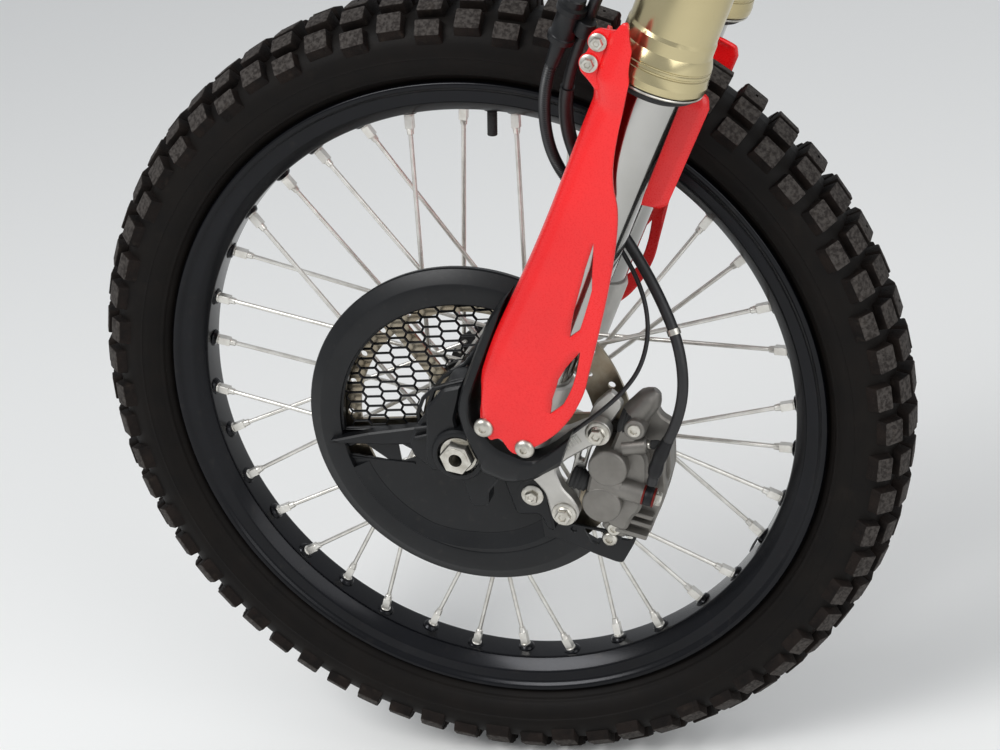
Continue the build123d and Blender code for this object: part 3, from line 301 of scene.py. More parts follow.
class Stock:
    """The finishes of the whole assembly, by material slot."""

    # Vulcanised rubber, moulded: dark brown-grey, dull, with dry dust
    RUBBER = Finish("vulcanised_rubber", "14110f", "100e0d", rough=(0.46, 0.6), patch=30, grain=0.8, relief=0.1,
                    dust="4a4037", dust_cover=0.08, dust_patch=22, gloss=0.1)
    TREAD = TreadFinish("scuffed_tread_rubber", "171311", "100d0c", rough=(0.6, 0.8), grain=1.1, relief=0.35,
                        dust="64594e", dust_cover=0.14, dust_patch=9, gloss=0.12)
    # Black anodised aluminium: glossy enough to mirror the sky as a soft band
    RIM = Finish("black_anodised_aluminium", "090a0e", "0d0e13", metallic=0.5, rough=(0.16, 0.28), patch=60,
                 grain=0.6, relief=0.01, dust="5f5850", dust_cover=0.1, dust_patch=10, coat=0.06, gloss=0.35)
    # Stainless spoke wire: bright, slightly dull
    WIRE = Finish("stainless_spoke_wire", "e6e4de", "d2cfc8", metallic=0.75, rough=(0.28, 0.4), patch=12, grain=0.6,
                  relief=0.01)
    # Painted casting of the hub: black, with loose clouds of dust
    HUB = Finish("black_painted_casting", "18181a", "202022", metallic=0.2, rough=(0.4, 0.55), patch=30, grain=0.8,
                 relief=0.05, dust_cover=0.2)
    # Ground steel of the bearings' rings
    GROUND = Finish("ground_bearing_steel", "a8a8a6", "8f8f8d", metallic=1.0, rough=(0.25, 0.4), relief=0.02)
    # Ground disc steel: fine rings of grinding, tinted bronze by heat
    DISC = Finish("ground_disc_steel", "8f8370", "a59d8d", metallic=1.0, rough=(0.26, 0.38), patch=16, grain=0.5,
                  relief=0.02)
    # Zinc-plated steel of bolts, nuts and clips: bright, a little blotched
    ZINC = Finish("zinc_plated_steel", "d3d0c8", "b3afa5", metallic=1.0, rough=(0.28, 0.42), patch=8, grain=0.4,
                  relief=0.02)
    # Shot-blasted aluminium casting: even, pale and grainy
    CAST = Finish("shot_blasted_aluminium", "c2c0bb", "b2b0ab", metallic=0.85, rough=(0.38, 0.5), patch=24, grain=0.6,
                  relief=0.04)
    # Hard chrome, ground and polished: nearly a mirror
    TUBE = Finish("hard_chromed_tube", "b8b7b4", "adaca8", metallic=1.0, rough=(0.1, 0.14), patch=60, grain=6.0,
                  relief=0.0)
    # Champagne anodised aluminium, turned: rings of tool marks round the tube
    GOLD = Finish("champagne_anodised_aluminium", "c2b68f", "b9ac84", metallic=0.95, rough=(0.2, 0.26), patch=120,
                  grain=14.0, relief=0.0)
    # Black anodised forging of the clamps
    CLAMP = Finish("black_anodised_forging", "141416", "1c1c1f", metallic=0.5, rough=(0.35, 0.5), relief=0.04)
    # Polypropylene guard, injection moulded: even strong colour, soft gloss
    RED = Finish("moulded_red_polypropylene", "e81518", "dc1216", rough=(0.24, 0.34), patch=90, grain=1.2,
                 relief=0.01, dust="a05048", dust_cover=0.06, dust_patch=5, coat=0.1)
    # Polypropylene with a moulded grain: near black, satin, a little dusty
    COVER = Finish("grained_black_polypropylene", "0e0f11", "141517", rough=(0.3, 0.42), patch=40, grain=0.9,
                   relief=0.05, dust="5a534a", dust_cover=0.12, dust_patch=7, gloss=0.3)
    # Grey anodised aluminium casting: satin, with a fine sandy grain
    CALIPER = Finish("grey_anodised_casting", "817e79", "74716c", metallic=0.7, rough=(0.4, 0.48), patch=20,
                     grain=0.5, relief=0.03)
    # Anodised aluminium sealing rings of the hose's eye
    WASHER = Finish("red_anodised_aluminium", "7a2420", "68201c", metallic=0.7, rough=(0.3, 0.42), relief=0.01)
    # Sintered lining of the brake pads
    LINING = Finish("sintered_pad_lining", "2d2a26", "3a3530", rough=(0.7, 0.9), relief=0.1)
    # Rubber of the brake hose and of the cable: smooth, a little dusty
    HOSE = Finish("ozone_proof_hose_rubber", "121214", "1b1b1d", rough=(0.38, 0.5), patch=12, grain=0.8, relief=0.04,
                  dust_cover=0.12)
    # Rubber of seals and boots: dull
    SEAL = Finish("seal_rubber", "101011", "1a1a1b", rough=(0.5, 0.65), relief=0.03)

    SLOTS = {"tyre_rubber": RUBBER, "rim_black": RIM, "spoke_steel": WIRE, "hub_black": HUB, "bearing_steel": GROUND,
             "disc_steel": DISC, "axle_steel": ZINC, "cast_alloy": CAST, "tube_steel": TUBE, "gold_anodised": GOLD,
             "clamp_alloy": CLAMP, "guard_red": RED, "cover_black": COVER, "caliper_grey": CALIPER,
             "pad_lining": LINING, "hose_rubber": HOSE, "seal_rubber": SEAL, "fastener_zinc": ZINC}

    def dress(self) -> None:
        """Gives every CAD node that still shows the finish of its slot in the record."""
        slots = {row["node"]: row["material_slot"] for row in frame["record"]["subparts"]}
        for name, node in frame["nodes"].items():
            node.data.materials.clear()
            node.data.materials.append(self.SLOTS[slots[name]].material())


# Shapes

def grid(rows: int, cols: int, close_rows: bool = False, close_cols: bool = False) -> Array:
    """Four-cornered faces of a grid of points: each joins a point, the next column and the next row.

    Args:
        rows: how many rows of points there are.
        cols: how many points a row has.
        close_rows: joins the last row to the first.
        close_cols: joins the last column to the first.

    Returns:
        The faces as an array of four indices each.
    """
    row, col = np.meshgrid(np.arange(rows if close_rows else rows - 1), np.arange(cols if close_cols else cols - 1),
                           indexing="ij")
    here, after, right = row * cols, (row + 1) % rows * cols, (col + 1) % cols
    return np.stack((here + col, here + right, after + right, after + col), -1).reshape(-1, 4)


def wind(outline: Array, way: int) -> Array:
    """An outline turned to run anticlockwise for way 1 and clockwise for way -1, by the sign of its area."""
    x, y = np.asarray(outline, float).T
    return np.asarray(outline, float)[:: 1 if np.sum(x * np.roll(y, -1) - np.roll(x, -1) * y) * way > 0 else -1]


def inset(outline: Array, distance: float) -> Array:
    """An anticlockwise outline moved inwards: each corner goes along its mitre.

    The mitre is the sum of the two sides' unit normals over one plus their dot product.

    Args:
        outline: the corners, two numbers each.
        distance: how far the sides move.

    Returns:
        The moved corners.
    """
    step = np.roll(outline, -1, 0) - outline
    normal = np.stack((-step[:, 1], step[:, 0]), -1) / np.maximum(np.linalg.norm(step, axis=1), 1e-9)[:, None]
    before = np.roll(normal, 1, 0)
    blunt = np.maximum(1 + np.sum(normal * before, 1), 0.35)[:, None]
    return outline + distance * (normal + before) / blunt


def rounded(corners: Array, radius: float, steps: int = 4) -> Array:
    """Each corner becomes a parabola between two points the radius away along its sides.

    A point of it is (1-t)² of the first, 2t(1-t) of the corner and t² of the second. On a short side the radius is
    at most 45% of its length.

    Args:
        corners: the outline's corners.
        radius: the distance from a corner to the ends of its curve.
        steps: how many sides the curve has.

    Returns:
        The rounded outline.
    """
    corners = np.asarray(corners, float)
    ahead, back = np.roll(corners, -1, 0) - corners, np.roll(corners, 1, 0) - corners
    far, near = np.linalg.norm(ahead, axis=1)[:, None], np.linalg.norm(back, axis=1)[:, None]
    reach = np.minimum(radius, 0.45 * np.minimum(far, near))
    first, last = corners + back / near * reach, corners + ahead / far * reach
    t = np.linspace(0, 1, steps + 1)[None, :, None]
    curve = (1 - t) ** 2 * first[:, None] + 2 * t * (1 - t) * corners[:, None] + t ** 2 * last[:, None]
    return curve.reshape(-1, 2)


def circle(a: float, b: float, radius: float, sides: int = 32, start: float = 0.0) -> Array:
    """Points round a centre: cosine and sine of equal angles, the first at a start angle in degrees."""
    angle = np.linspace(0, 2 * pi, sides, endpoint=False) + radians(start)
    return np.stack((a + radius * np.cos(angle), b + radius * np.sin(angle)), -1)


def raised(outline: Array, level: float) -> Array:
    """An outline's points with a height as their third number."""
    return np.column_stack((outline, np.full(len(outline), level)))


def stacked(levels: tuple) -> Array:
    """Outlines of as many points, each at its height, as the rows of a grid."""
    return np.stack([raised(outline, level) for outline, level in levels])


def smooth(x: Array, knots: Array, values: Array) -> Array:
    """A curve through knots: cubic pieces that never swing past them.

    A knot's slope is the harmonic mean of the slopes on both sides, or nought where these differ in sign.

    Args:
        x: where the curve is wanted.
        knots: rising places along it.
        values: one number or point for each knot.

    Returns:
        The curve's values at x.
    """
    knots, values = np.asarray(knots, float), np.asarray(values, float)
    shape = (-1,) + (1,) * (values.ndim - 1)
    step = np.diff(values, axis=0) / np.diff(knots).reshape(shape)
    both = np.maximum(step[:-1] * step[1:], 0)
    middle = 2 * both / np.where(both > 0, step[:-1] + step[1:], 1)
    slope = np.concatenate((step[:1], middle, step[-1:]))
    i = np.clip(np.searchsorted(knots, x) - 1, 0, len(knots) - 2)
    width = (knots[i + 1] - knots[i]).reshape(shape)
    t = np.clip((x - knots[i]) / (knots[i + 1] - knots[i]), 0, 1).reshape(shape)
    return ((2 * t ** 3 - 3 * t ** 2 + 1) * values[i] + (t ** 3 - 2 * t ** 2 + t) * width * slope[i]
            + (3 * t ** 2 - 2 * t ** 3) * values[i + 1] + (t ** 3 - t ** 2) * width * slope[i + 1])


def through(table: tuple, x: Array) -> Array:
    """The smooth curve at x through a table whose rows are a place and its value or values."""
    knots = np.array(table, float)
    return smooth(x, knots[:, 0], knots[:, 1:].squeeze())


def spline(points: Array, steps: int = 8) -> Array:
    """A quadratic B-spline that starts and ends at the first and last point.

    Between two middles of sides it is half (1-t)² of the last point, half + t - t² of this one and half t² of the
    next.

    Args:
        points: the control points.
        steps: how many steps each of them gets.

    Returns:
        The points of the curve.
    """
    points = np.asarray(points, float)
    points = np.concatenate((2 * points[:1] - points[1:2], points, 2 * points[-1:] - points[-2:-1]))
    t = np.linspace(0, 1, steps, endpoint=False)[None, :, None]
    before, here, after = points[:-2, None], points[1:-1, None], points[2:, None]
    curve = 0.5 * (1 - t) ** 2 * before + (0.5 + t - t * t) * here + 0.5 * t * t * after
    return curve.reshape(-1, 3)[steps // 2:][:-(steps // 2) + 1]


def place(name: str, mesh: bpy.types.Mesh, sharp: float, bevel: float) -> bpy.types.Object:
    """Puts a mesh into the scene, smooth but for its sharp edges.

    Args:
        name: the new object's name.
        mesh: its mesh.
        sharp: edges over this angle in degrees stay sharp.
        bevel: width of a bevel on edges over 40 degrees, in millimetres.

    Returns:
        The object.
    """
    mesh.shade_smooth()
    mesh.set_sharp_from_angle(angle=radians(sharp))
    item = bpy.data.objects.new(name, mesh)
    bpy.context.collection.objects.link(item)
    if bevel:
        edge = item.modifiers.new("edge", "BEVEL")
        edge.width, edge.segments = bevel * MM, 2
        edge.limit_method, edge.angle_limit = "ANGLE", radians(40)
    return item


class Shape:
    """A mesh in the making: points in millimetres, faces, a finish number per face and a tone per point."""

    def __init__(self) -> None:
        """Starts with nothing."""
        self.points: list[Array] = []
        self.faces: list[list] = []
        self.marks: list[int] = []
        self.tones: list[Array] = []
        self.count = 0

    def add(self, points: Array, faces: Array, mark: int = 0, tone: object = 0.0) -> None:
        """Adds a surface.

        Args:
            points: its points in millimetres.
            faces: indices of each face's corners.
            mark: which of the piece's finishes it takes.
            tone: a number per point, or one for all, that a finish can read.
        """
        points = np.asarray(points, float).reshape(-1, 3)
        self.points.append(points)
        self.faces.extend((np.asarray(faces) + self.count).tolist())
        self.marks.extend([mark] * len(faces))
        self.tones.append(np.broadcast_to(np.asarray(tone, float).reshape(-1), len(points)))
        self.count += len(points)

    def sheet(self, points: Array, close_rows: bool = False, close_cols: bool = False, mark: int = 0) -> None:
        """Adds a grid of points, rows by columns, as a surface."""
        self.add(points, grid(*points.shape[:2], close_rows, close_cols), mark)

    def bar(self, points: Array) -> None:
        """Adds a grid whose rows are closed loops, with a face over the first and the last one.

        Args:
            points: the grid's points.
        """
        self.sheet(points, close_cols=True)
        for end in (0, -1):
            self.add(points[end], [list(range(points.shape[1]))])

    def lathe(self, datum: Datum, profile: Array, turns: int = 96, closed: bool = True, mark: int = 0,
              centre: tuple = (0.0, 0.0)) -> None:
        """Turns a profile round the datum's third direction: radius times cosine and sine, and the height.

        Args:
            datum: the axes.
            profile: radius and height of each point.
            turns: how many steps a full turn has.
            closed: joins the profile's end to its start.
            mark: which finish it takes.
            centre: where the axis stands in the datum.
        """
        angle = np.linspace(0, 2 * pi, turns, endpoint=False)
        radius, height = np.asarray(profile, float).T[:, :, None]
        ring = np.stack((centre[0] + radius * np.cos(angle), centre[1] + radius * np.sin(angle),
                         height + 0 * angle), -1)
        self.sheet(datum.at(ring), close_rows=closed, close_cols=True, mark=mark)

    def plate(self, datum: Datum, outline: Array, low: float, high: float, bevel: float, holes: tuple = ()) -> None:
        """A slab between two heights along the datum's third direction, its edges bevelled by a mitred inset.

        Args:
            datum: the axes.
            outline: the corners in the first two directions.
            low: the lower height.
            high: the upper height.
            bevel: the size of the bevel.
            holes: outlines of holes.
        """
        loops = [wind(outline, 1)] + [wind(hole, -1) for hole in holes]
        small = [inset(loop, bevel) for loop in loops]
        for loop, inner in zip(loops, small):
            levels = ((inner, low), (loop, low + bevel), (loop, high - bevel), (inner, high))
            self.sheet(datum.at(stacked(levels)), close_cols=True)
        faces = tessellate_polygon([[Vector((*point, 0)) for point in loop] for loop in small])
        for level in (low, high):
            self.add(datum.at(raised(np.concatenate(small), level)), faces)

    def slabs(self, datum: Datum, table: tuple) -> None:
        """Adds a row of plates with rounded corners.

        Args:
            datum: the axes.
            table: each one's rounding, lower and upper height, bevel and corners.
        """
        for radius, low, high, bevel, corners in table:
            self.plate(datum, rounded(corners, radius), low, high, bevel)

    def tube(self, path: Array, radius: object, sides: int = 16, mark: int = 0,
             across: tuple = (0.0, 1.0, 0.0), start: float = 0.0) -> None:
        """A circle carried along a path, square to it, with its ends closed at their middles.

        The circle's first direction is the cross product of the path's direction and a fixed one.

        Args:
            path: the points of the centre line.
            radius: one radius, or one for each point.
            sides: how many sides the circle has.
            mark: which finish it takes.
            across: the fixed direction, never along the path.
            start: the first corner's angle in degrees.
        """
        path = np.asarray(path, float)
        way = np.gradient(path, axis=0)
        way /= np.linalg.norm(way, axis=1)[:, None]
        first = np.cross(way, across)
        first /= np.linalg.norm(first, axis=1)[:, None]
        second = np.cross(way, first)
        angle = (np.linspace(0, 2 * pi, sides, endpoint=False) + radians(start))[None, :, None]
        size = np.broadcast_to(radius, len(path))[:, None, None]
        ring = path[:, None] + size * (np.cos(angle) * first[:, None] + np.sin(angle) * second[:, None])
        ends = [np.repeat(path[end][None, None], sides, 1) for end in (0, -1)]
        self.sheet(np.concatenate((ends[0], ring, ends[1])), close_cols=True, mark=mark)

    def bolt(self, datum: Datum, a: float, b: float, base: float, flats: float, washer: float, height: float,
             turn: float = 10.0, dish: float = 0.9) -> None:
        """A flanged hexagon head: a domed flange and a six-sided head with a chamfered, dished top.

        Args:
            datum: the axes.
            a: its place in the first direction.
            b: its place in the second direction.
            base: the height of its seat.
            flats: across the flats of the hexagon.
            washer: the flange's radius.
            height: the whole height.
            turn: how the hexagon is turned, in degrees.
            dish: the depth of the dish in its top.
        """
        rim = height * 0.22
        self.lathe(datum, [(0, base), (washer - 0.3, base), (washer, base + 0.3), (washer, base + rim * 0.8),
                           (washer - 0.8, base + rim * 1.2), (flats * 0.5, base + rim * 1.7), (0, base + rim * 1.7)],
                   32, closed=False, centre=(a, b))
        corner = flats / 2 / cos(pi / 6)
        levels = ((0.0, rim), (corner, rim), (corner, height - 0.8), (corner * 0.9, height), (flats * 0.3, height),
                  (flats * 0.22, height - dish), (0.0, height - dish))
        rings = stacked([(circle(a, b, size, 6, turn), base + level) for size, level in levels])
        self.sheet(datum.at(rings), close_cols=True)

    def screw(self, datum: Datum, a: float, b: float, base: float, radius: float, height: float,
              socket: float = 3.0) -> None:
        """A domed round head with a six-sided socket.

        Args:
            datum: the axes.
            a: its place in the first direction.
            b: its place in the second direction.
            base: the height of its seat.
            radius: the head's radius.
            height: the head's height.
            socket: the socket's radius.
        """
        dome = np.linspace(0, pi / 2, 6)
        sizes = (0.0, radius, *(socket + (radius - socket) * np.cos(dome)), socket, 0.0)
        floor = base + height - 1.6
        levels = (base, base, *(base + 0.6 + (height - 0.6) * np.sin(dome)), floor, floor)
        rings = stacked([(circle(a, b, size, 24), level) for size, level in zip(sizes, levels)])
        self.sheet(datum.at(rings), close_cols=True)

    def mirrored(self) -> "Shape":
        """The same shape on the other side of the motorcycle, across its middle.

        Returns:
            The new shape.
        """
        other = Shape()
        other.points = [points * (1, -1, 1) for points in self.points]
        other.faces = [face[::-1] for face in self.faces]
        other.marks, other.tones, other.count = self.marks, self.tones, self.count
        return other

    def piece(self, name: str, slot: str, *stands_for: str, body: Body = Body.FORK, extra: tuple = (),
              sharp: float = 32.0, wall: float = 0.0, bevel: float = 0.0) -> None:
        """Makes the object: doubles merged, faces turned outwards, finishes and body given.

        Args:
            name: the piece's name.
            slot: the record's material slot, whose finish it takes.
            stands_for: CAD nodes that it replaces.
            body: what it moves with.
            extra: the finishes for marks over nought.
            sharp: edges over this angle in degrees stay sharp.
            wall: thickness added inwards to an open surface, in millimetres. Only without it are the surfaces
                closed, and so turned outwards.
            bevel: width of a bevel on its edges, in millimetres.
        """
        mesh = bpy.data.meshes.new(name)
        mesh.from_pydata((np.concatenate(self.points) * MM).tolist(), [], self.faces)
        mesh.polygons.foreach_set("material_index", self.marks)
        mesh.attributes.new("tone", "FLOAT", "POINT").data.foreach_set("value", np.concatenate(self.tones))
        work = bmesh.new()
        work.from_mesh(mesh)
        bmesh.ops.remove_doubles(work, verts=work.verts, dist=2e-6)
        bmesh.ops.dissolve_degenerate(work, edges=work.edges, dist=1e-6)
        if not wall:
            bmesh.ops.recalc_face_normals(work, faces=work.faces)
        work.to_mesh(mesh)
        work.free()
        for finish in (Stock.SLOTS[slot], *extra):
            mesh.materials.append(finish.material())
        item = place(name, mesh, sharp, bevel)
        if wall:
            thick = item.modifiers.new("wall", "SOLIDIFY")
            thick.thickness, thick.offset = wall * MM, -1
        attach(item, body.value)
        if stands_for:
            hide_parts(*stands_for)
        log.info("%s: %d points, %d faces", name, len(mesh.vertices), len(mesh.polygons))


def soften(node: str, width: float) -> None:
    """Shows a copy of a CAD node with its doubled points merged and its edges bevelled.

    Args:
        node: the CAD node.
        width: the bevel's width in millimetres.
    """
    mesh = frame["nodes"][node].data.copy()
    work = bmesh.new()
    work.from_mesh(mesh)
    bmesh.ops.remove_doubles(work, verts=work.verts, dist=1e-5)
    bmesh.ops.dissolve_limit(work, angle_limit=radians(1.0), verts=work.verts, edges=work.edges)
    work.to_mesh(mesh)
    work.free()
    item = place(node + "_softened", mesh, 32, width)
    item.modifiers["edge"].harden_normals = True
    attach(item, Body.FORK.value)
    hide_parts(node)
    log.info("%s: a softened copy of %s", item.name, node)


# Wheel

@dataclass
class Tyre:
    """The knobbly tyre: a moulded carcass with rows of tapered lugs, repeated round it."""

    radius: float = 347.0
    crown: float = 47.4
    # How far the lugs' bases lie below the tops
    depth: float = 14.5
    repeats: int = 33
    phase: float = 8.9
    length: float = 20.0
    # Right of the middle and radius, from the bead over the sidewall to the crown, and the lining to its middle
    wall: tuple = ((20, 268.2), (20, 277), (21, 280.4), (27, 285), (33.6, 291.5), (37.6, 299.5), (38.4, 306.5),
        (37.4, 313), (34.8, 319.5), (30.6, 325.5), (24, 330.3), (13, 333.6), (0, 334.7))
    lining: tuple = ((14.0, 268.2), (17.0, 282.0), (28.0, 300.0), (24.0, 318.0), (0.0, 326.0))
    # Radii of the two raised rings on the sidewall
    rings: tuple = (287.5, 303.0)
    # Share of a repeat, slope at the inner and outer end in degrees, how far the base goes on past each end, half
    # the length as a share of the lug's, and the depth of its top
    lugs: tuple = ((0, -13, 13, 2, 2, 1, 0), (0, 18, 36, 1, 2, 1, 0), (0, 46, 62, 2, 15, 1, 0),
        (0.5, 3, 25, 1, 2, 1, 0), (0.5, 35, 55, 2, 12, 1, 0), (0.25, 44, 66, 1, 8, 0.42, 10.2),
        (0.75, 44, 66, 1, 8, 0.42, 10.2))
    # Of a lug's rings: depth below its top, share of the way to the base's outline, inset and tone
    levels: tuple = ((14.5, 1, 9, 0), (14.5, 1, 0, 0), (9.5, 0.72, 0, 0.25), (3.5, 0.2, 0, 0.5),
        (0.9, 0, 0, 0.75), (0.25, 0, 0.25, 1), (0, 0, 0.9, 1), (0.25, 0, 3.2, 1), (0.3, 0, 9, 1))

    def carcass(self, shape: Shape) -> None:
        """The outer wall as a smooth curve with two fine raised rings, and the flat lining inside.

        Args:
            shape: the tyre's shape.
        """
        half = smooth(np.linspace(0, 1, 97), np.linspace(0, 1, len(self.wall)), self.wall)
        raise_by = sum(np.exp(-((half[:, 1] - radius) / 0.7) ** 2) for radius in self.rings)
        half = half + raise_by[:, None] * 0.7 * np.array((0.8, -0.6))
        inner = np.array(self.lining)
        profile = np.concatenate((half * (-1, 1), half[-2::-1], inner, inner[-2::-1] * (-1, 1)))
        shape.lathe(WHEEL, profile[:, ::-1], 198)

    def row(self, shape: Shape, side: int, lug: tuple) -> None:
        """Every lug of a row at once: rings of a rounded rectangle, from the base up the flanks to the top.

        A ring's points have a place along the tread, a slope across it and a depth. The slope and depth give the
        distance right and out: (crown - depth) times its sine, and the same times its cosine beyond the arc's
        centre. Then each repeat is turned round the axle.

        Args:
            shape: the tyre's shape.
            side: 1 to the right of the middle and -1 to the left.
            lug: a row of the lugs' table.
        """
        outline = rounded(((-1, -1), (1, -1), (1, 1), (-1, 1)), 0.16, 3)
        share, inner, outer, past_in, past_out, narrow, top = lug
        rings = []
        for depth, way, small, _ in self.levels:
            half = max(self.length / 2 * narrow + way * 1.4 - small, 0.01)
            slope = np.array((inner - way * past_in, outer + way * past_out), float)
            reach = max(np.ptp(slope) / 2 - np.degrees(small / self.crown), 0.01)
            rings.append((outline * (half, reach) + (0, slope.mean()), min(depth, self.depth - top) + top))
        u, slope, depth = np.moveaxis(stacked(rings), -1, 0)
        reach = self.crown - depth
        out = self.radius - self.crown + reach * np.cos(np.radians(slope))
        right = side * reach * np.sin(np.radians(slope))
        angle = np.radians(np.arange(self.repeats) * 360.0 / self.repeats)[:, None, None]
        turn = radians(self.phase + share * 360.0 / self.repeats) + angle
        x, z = -out * np.sin(turn) + u * np.cos(turn), out * np.cos(turn) + u * np.sin(turn)
        faces = grid(*u.shape, close_cols=True) + (np.arange(self.repeats) * u.size)[:, None, None]
        tones = np.tile(np.repeat(np.array(self.levels)[:, 3], len(outline)), self.repeats)
        shape.add(WHEEL.at(np.stack((x, z, -right + 0 * x), -1)), faces.reshape(-1, 4), 1, tones)

    def build(self) -> None:
        """Makes the tyre in one piece."""
        shape = Shape()
        self.carcass(shape)
        for lug in self.lugs:
            for side in (-1, 1) if lug[1] > 0 else (1,):
                self.row(shape, side, lug)
        shape.piece("tyre_moulded", "tyre_rubber", "tyre", body=Body.WHEEL, extra=(Stock.TREAD,), sharp=38)


@dataclass
class Spokes:
    """The 36 wires, laced over the hub's flanges, and their nipples."""

    count: int = 36
    phase: float = -13.5
    radius: float = 1.9
    nipple: float = 18.0
    stagger: float = 3.5
    lace: float = 55.6
    ring: float = 45.0
    flange: float = 35.0
    flange_wall: float = 5.0
    reach: float = 252.15
    lift: float = 1.75
    head: float = 3.4
    # Along a nipple from the rim inwards, and its radius there: collar, square grip and taper
    collar: tuple = ((0.0, 0.1), (0.001, 4.4), (1.802, 4.4), (2.403, 3.9))
    grip: tuple = ((2.403, 4.3), (2.504, 4.6), (12.805, 4.6))
    taper: tuple = ((12.805, 3.4), (13.406, 3.1), (17.407, 2.7), (18.008, 2.1))

    def around(self, angle: float, radius: float, y: float) -> Array:
        """A point at an angle from straight up towards the front: the sine and cosine times the radius."""
        return LAYOUT.axle + np.array((-radius * sin(radians(angle)), y, radius * cos(radians(angle))))

    def lines(self) -> list:
        """The wires as the drawing laces them.

        Returns:
            Each wire's side and its ends at the rim and at the hub.
        """
        lines = []
        for number in range(self.count):
            side = -1 if number % 2 == 0 else 1
            turn = -1 if number % 4 in (0, 3) else 1
            angle = self.phase + 360.0 / self.count * number
            head = side * (self.flange - self.flange_wall / 2 - self.radius)
            if turn > 0:
                head = side * (self.flange + self.flange_wall / 2 + self.radius + self.lift)
            outer = self.around(angle, self.reach, side * self.stagger)
            lines.append((side, outer, self.around(angle + turn * self.lace, self.ring, head)))
        return lines

    def build(self) -> None:
        """Wires that bend through their holes to a flat head, and nipples with a collar, a square grip and a taper.

        The bend is a parabola: (1-t)² of a point before the hole, 2t(1-t) of the hole and t² of a point past it.
        """
        wires = {side.value: Shape() for side in Side}
        nipples = Shape()
        t = np.linspace(0, 1, 8)[:, None]
        for side, outer, inner in self.lines():
            length = np.linalg.norm(inner - outer)
            way = (inner - outer) / length
            through_by = side if abs(inner[1]) < self.flange else -side
            past = inner.copy()
            past[1] = side * self.flange + through_by * (self.flange_wall / 2 + 1.6)
            elbow = (1 - t) ** 2 * (inner - way * 5) + 2 * t * (1 - t) * inner + t * t * past
            straight = outer + way * np.linspace(self.nipple - 2, length - 8, 3)[:, None]
            path = np.concatenate((straight, elbow, past[None] + (0, through_by * 1.2, 0)))
            sizes = np.full(len(path), self.radius)
            sizes[-2:] = self.head
            wires[side].tube(path, sizes, 12, across=(0.31, 0.05, 0.95))
            for table, sides, start in ((self.collar, 20, 0), (self.grip, 4, 45), (self.taper, 20, 0)):
                stops = np.array(table)
                nipples.tube(outer + way * stops[:, :1], stops[:, 1], sides, start=start)
        for side in Side:
            name = side.name.lower()
            wires[side.value].piece("wires_" + name, "spoke_steel", "spokes_" + name, body=Body.WHEEL, sharp=50)
        nipples.piece("spoke_nipples", "spoke_steel", "nipples", body=Body.WHEEL, sharp=30, bevel=0.4)


@dataclass
class Rim:
    """The rim, its valve and the plug beside it."""

    # Radius and right of the middle, round the section
    section: tuple = ((280.7, -24.5), (276.7, -20.3), (267.5, -20.3), (266.5, -13), (256.2, -9), (256.2, 9),
        (266.5, 13), (267.5, 20.3), (276.7, 20.3), (280.7, 24.5), (279.2, 27), (275.7, 27), (272.2, 23.5),
        (263, 22.5), (253.2, 13), (253.2, -13), (263, -22.5), (272.2, -23.5), (275.7, -27), (279.2, -27))
    inner: float = 253.2
    # Along a spoke from its end inwards, and the pad's radius there
    pad: tuple = ((-2.2, 8.0), (0.2, 7.0), (1.0, 6.2), (1.3, 5.2))
    # Degrees from straight up, and inwards from the rim with the radius there: the threaded valve and the plug.
    # Known fault: both start with two equal places, so tube() finds no direction for the first ring and its points
    # are not numbers. A second place of 0.001 mends it.
    fitted: tuple = ((-9.0, ((0, 0.1), (0, 7), (2.5, 7), (2.6, 5),
                             *zip(np.linspace(3, 24.0, 24).tolist(), [4.2, 3.7] * 12))),
                     (-126.0, ((0, 0.1), (0, 7.6), (3, 7.6), (3, 5.6), (4, 0.5))))

    def build(self) -> None:
        """The rolled section with soft corners, a low pad under each nipple, the valve and the plug."""
        shape = Shape()
        shape.lathe(WHEEL, rounded(self.section, 1.6, 3), 288)
        pad = np.array(self.pad)
        for _, outer, inner in Spokes().lines():
            way = (inner - outer) / np.linalg.norm(inner - outer)
            shape.tube(outer + way * pad[:, :1], pad[:, 1], 20)
        shape.piece("rim_extruded", "rim_black", "rim", body=Body.WHEEL, sharp=28)
        shape = Shape()
        for turn, stops in self.fitted:
            out = np.array((-sin(radians(turn)), 0.0, cos(radians(turn))))
            stops = np.array(stops, float)
            shape.tube(LAYOUT.axle + out * (self.inner - 0.4 - stops[:, :1]), stops[:, 1], 18)
        shape.piece("valve_and_plug", "seal_rubber", "valve_stem", body=Body.WHEEL, sharp=40)


# Fork

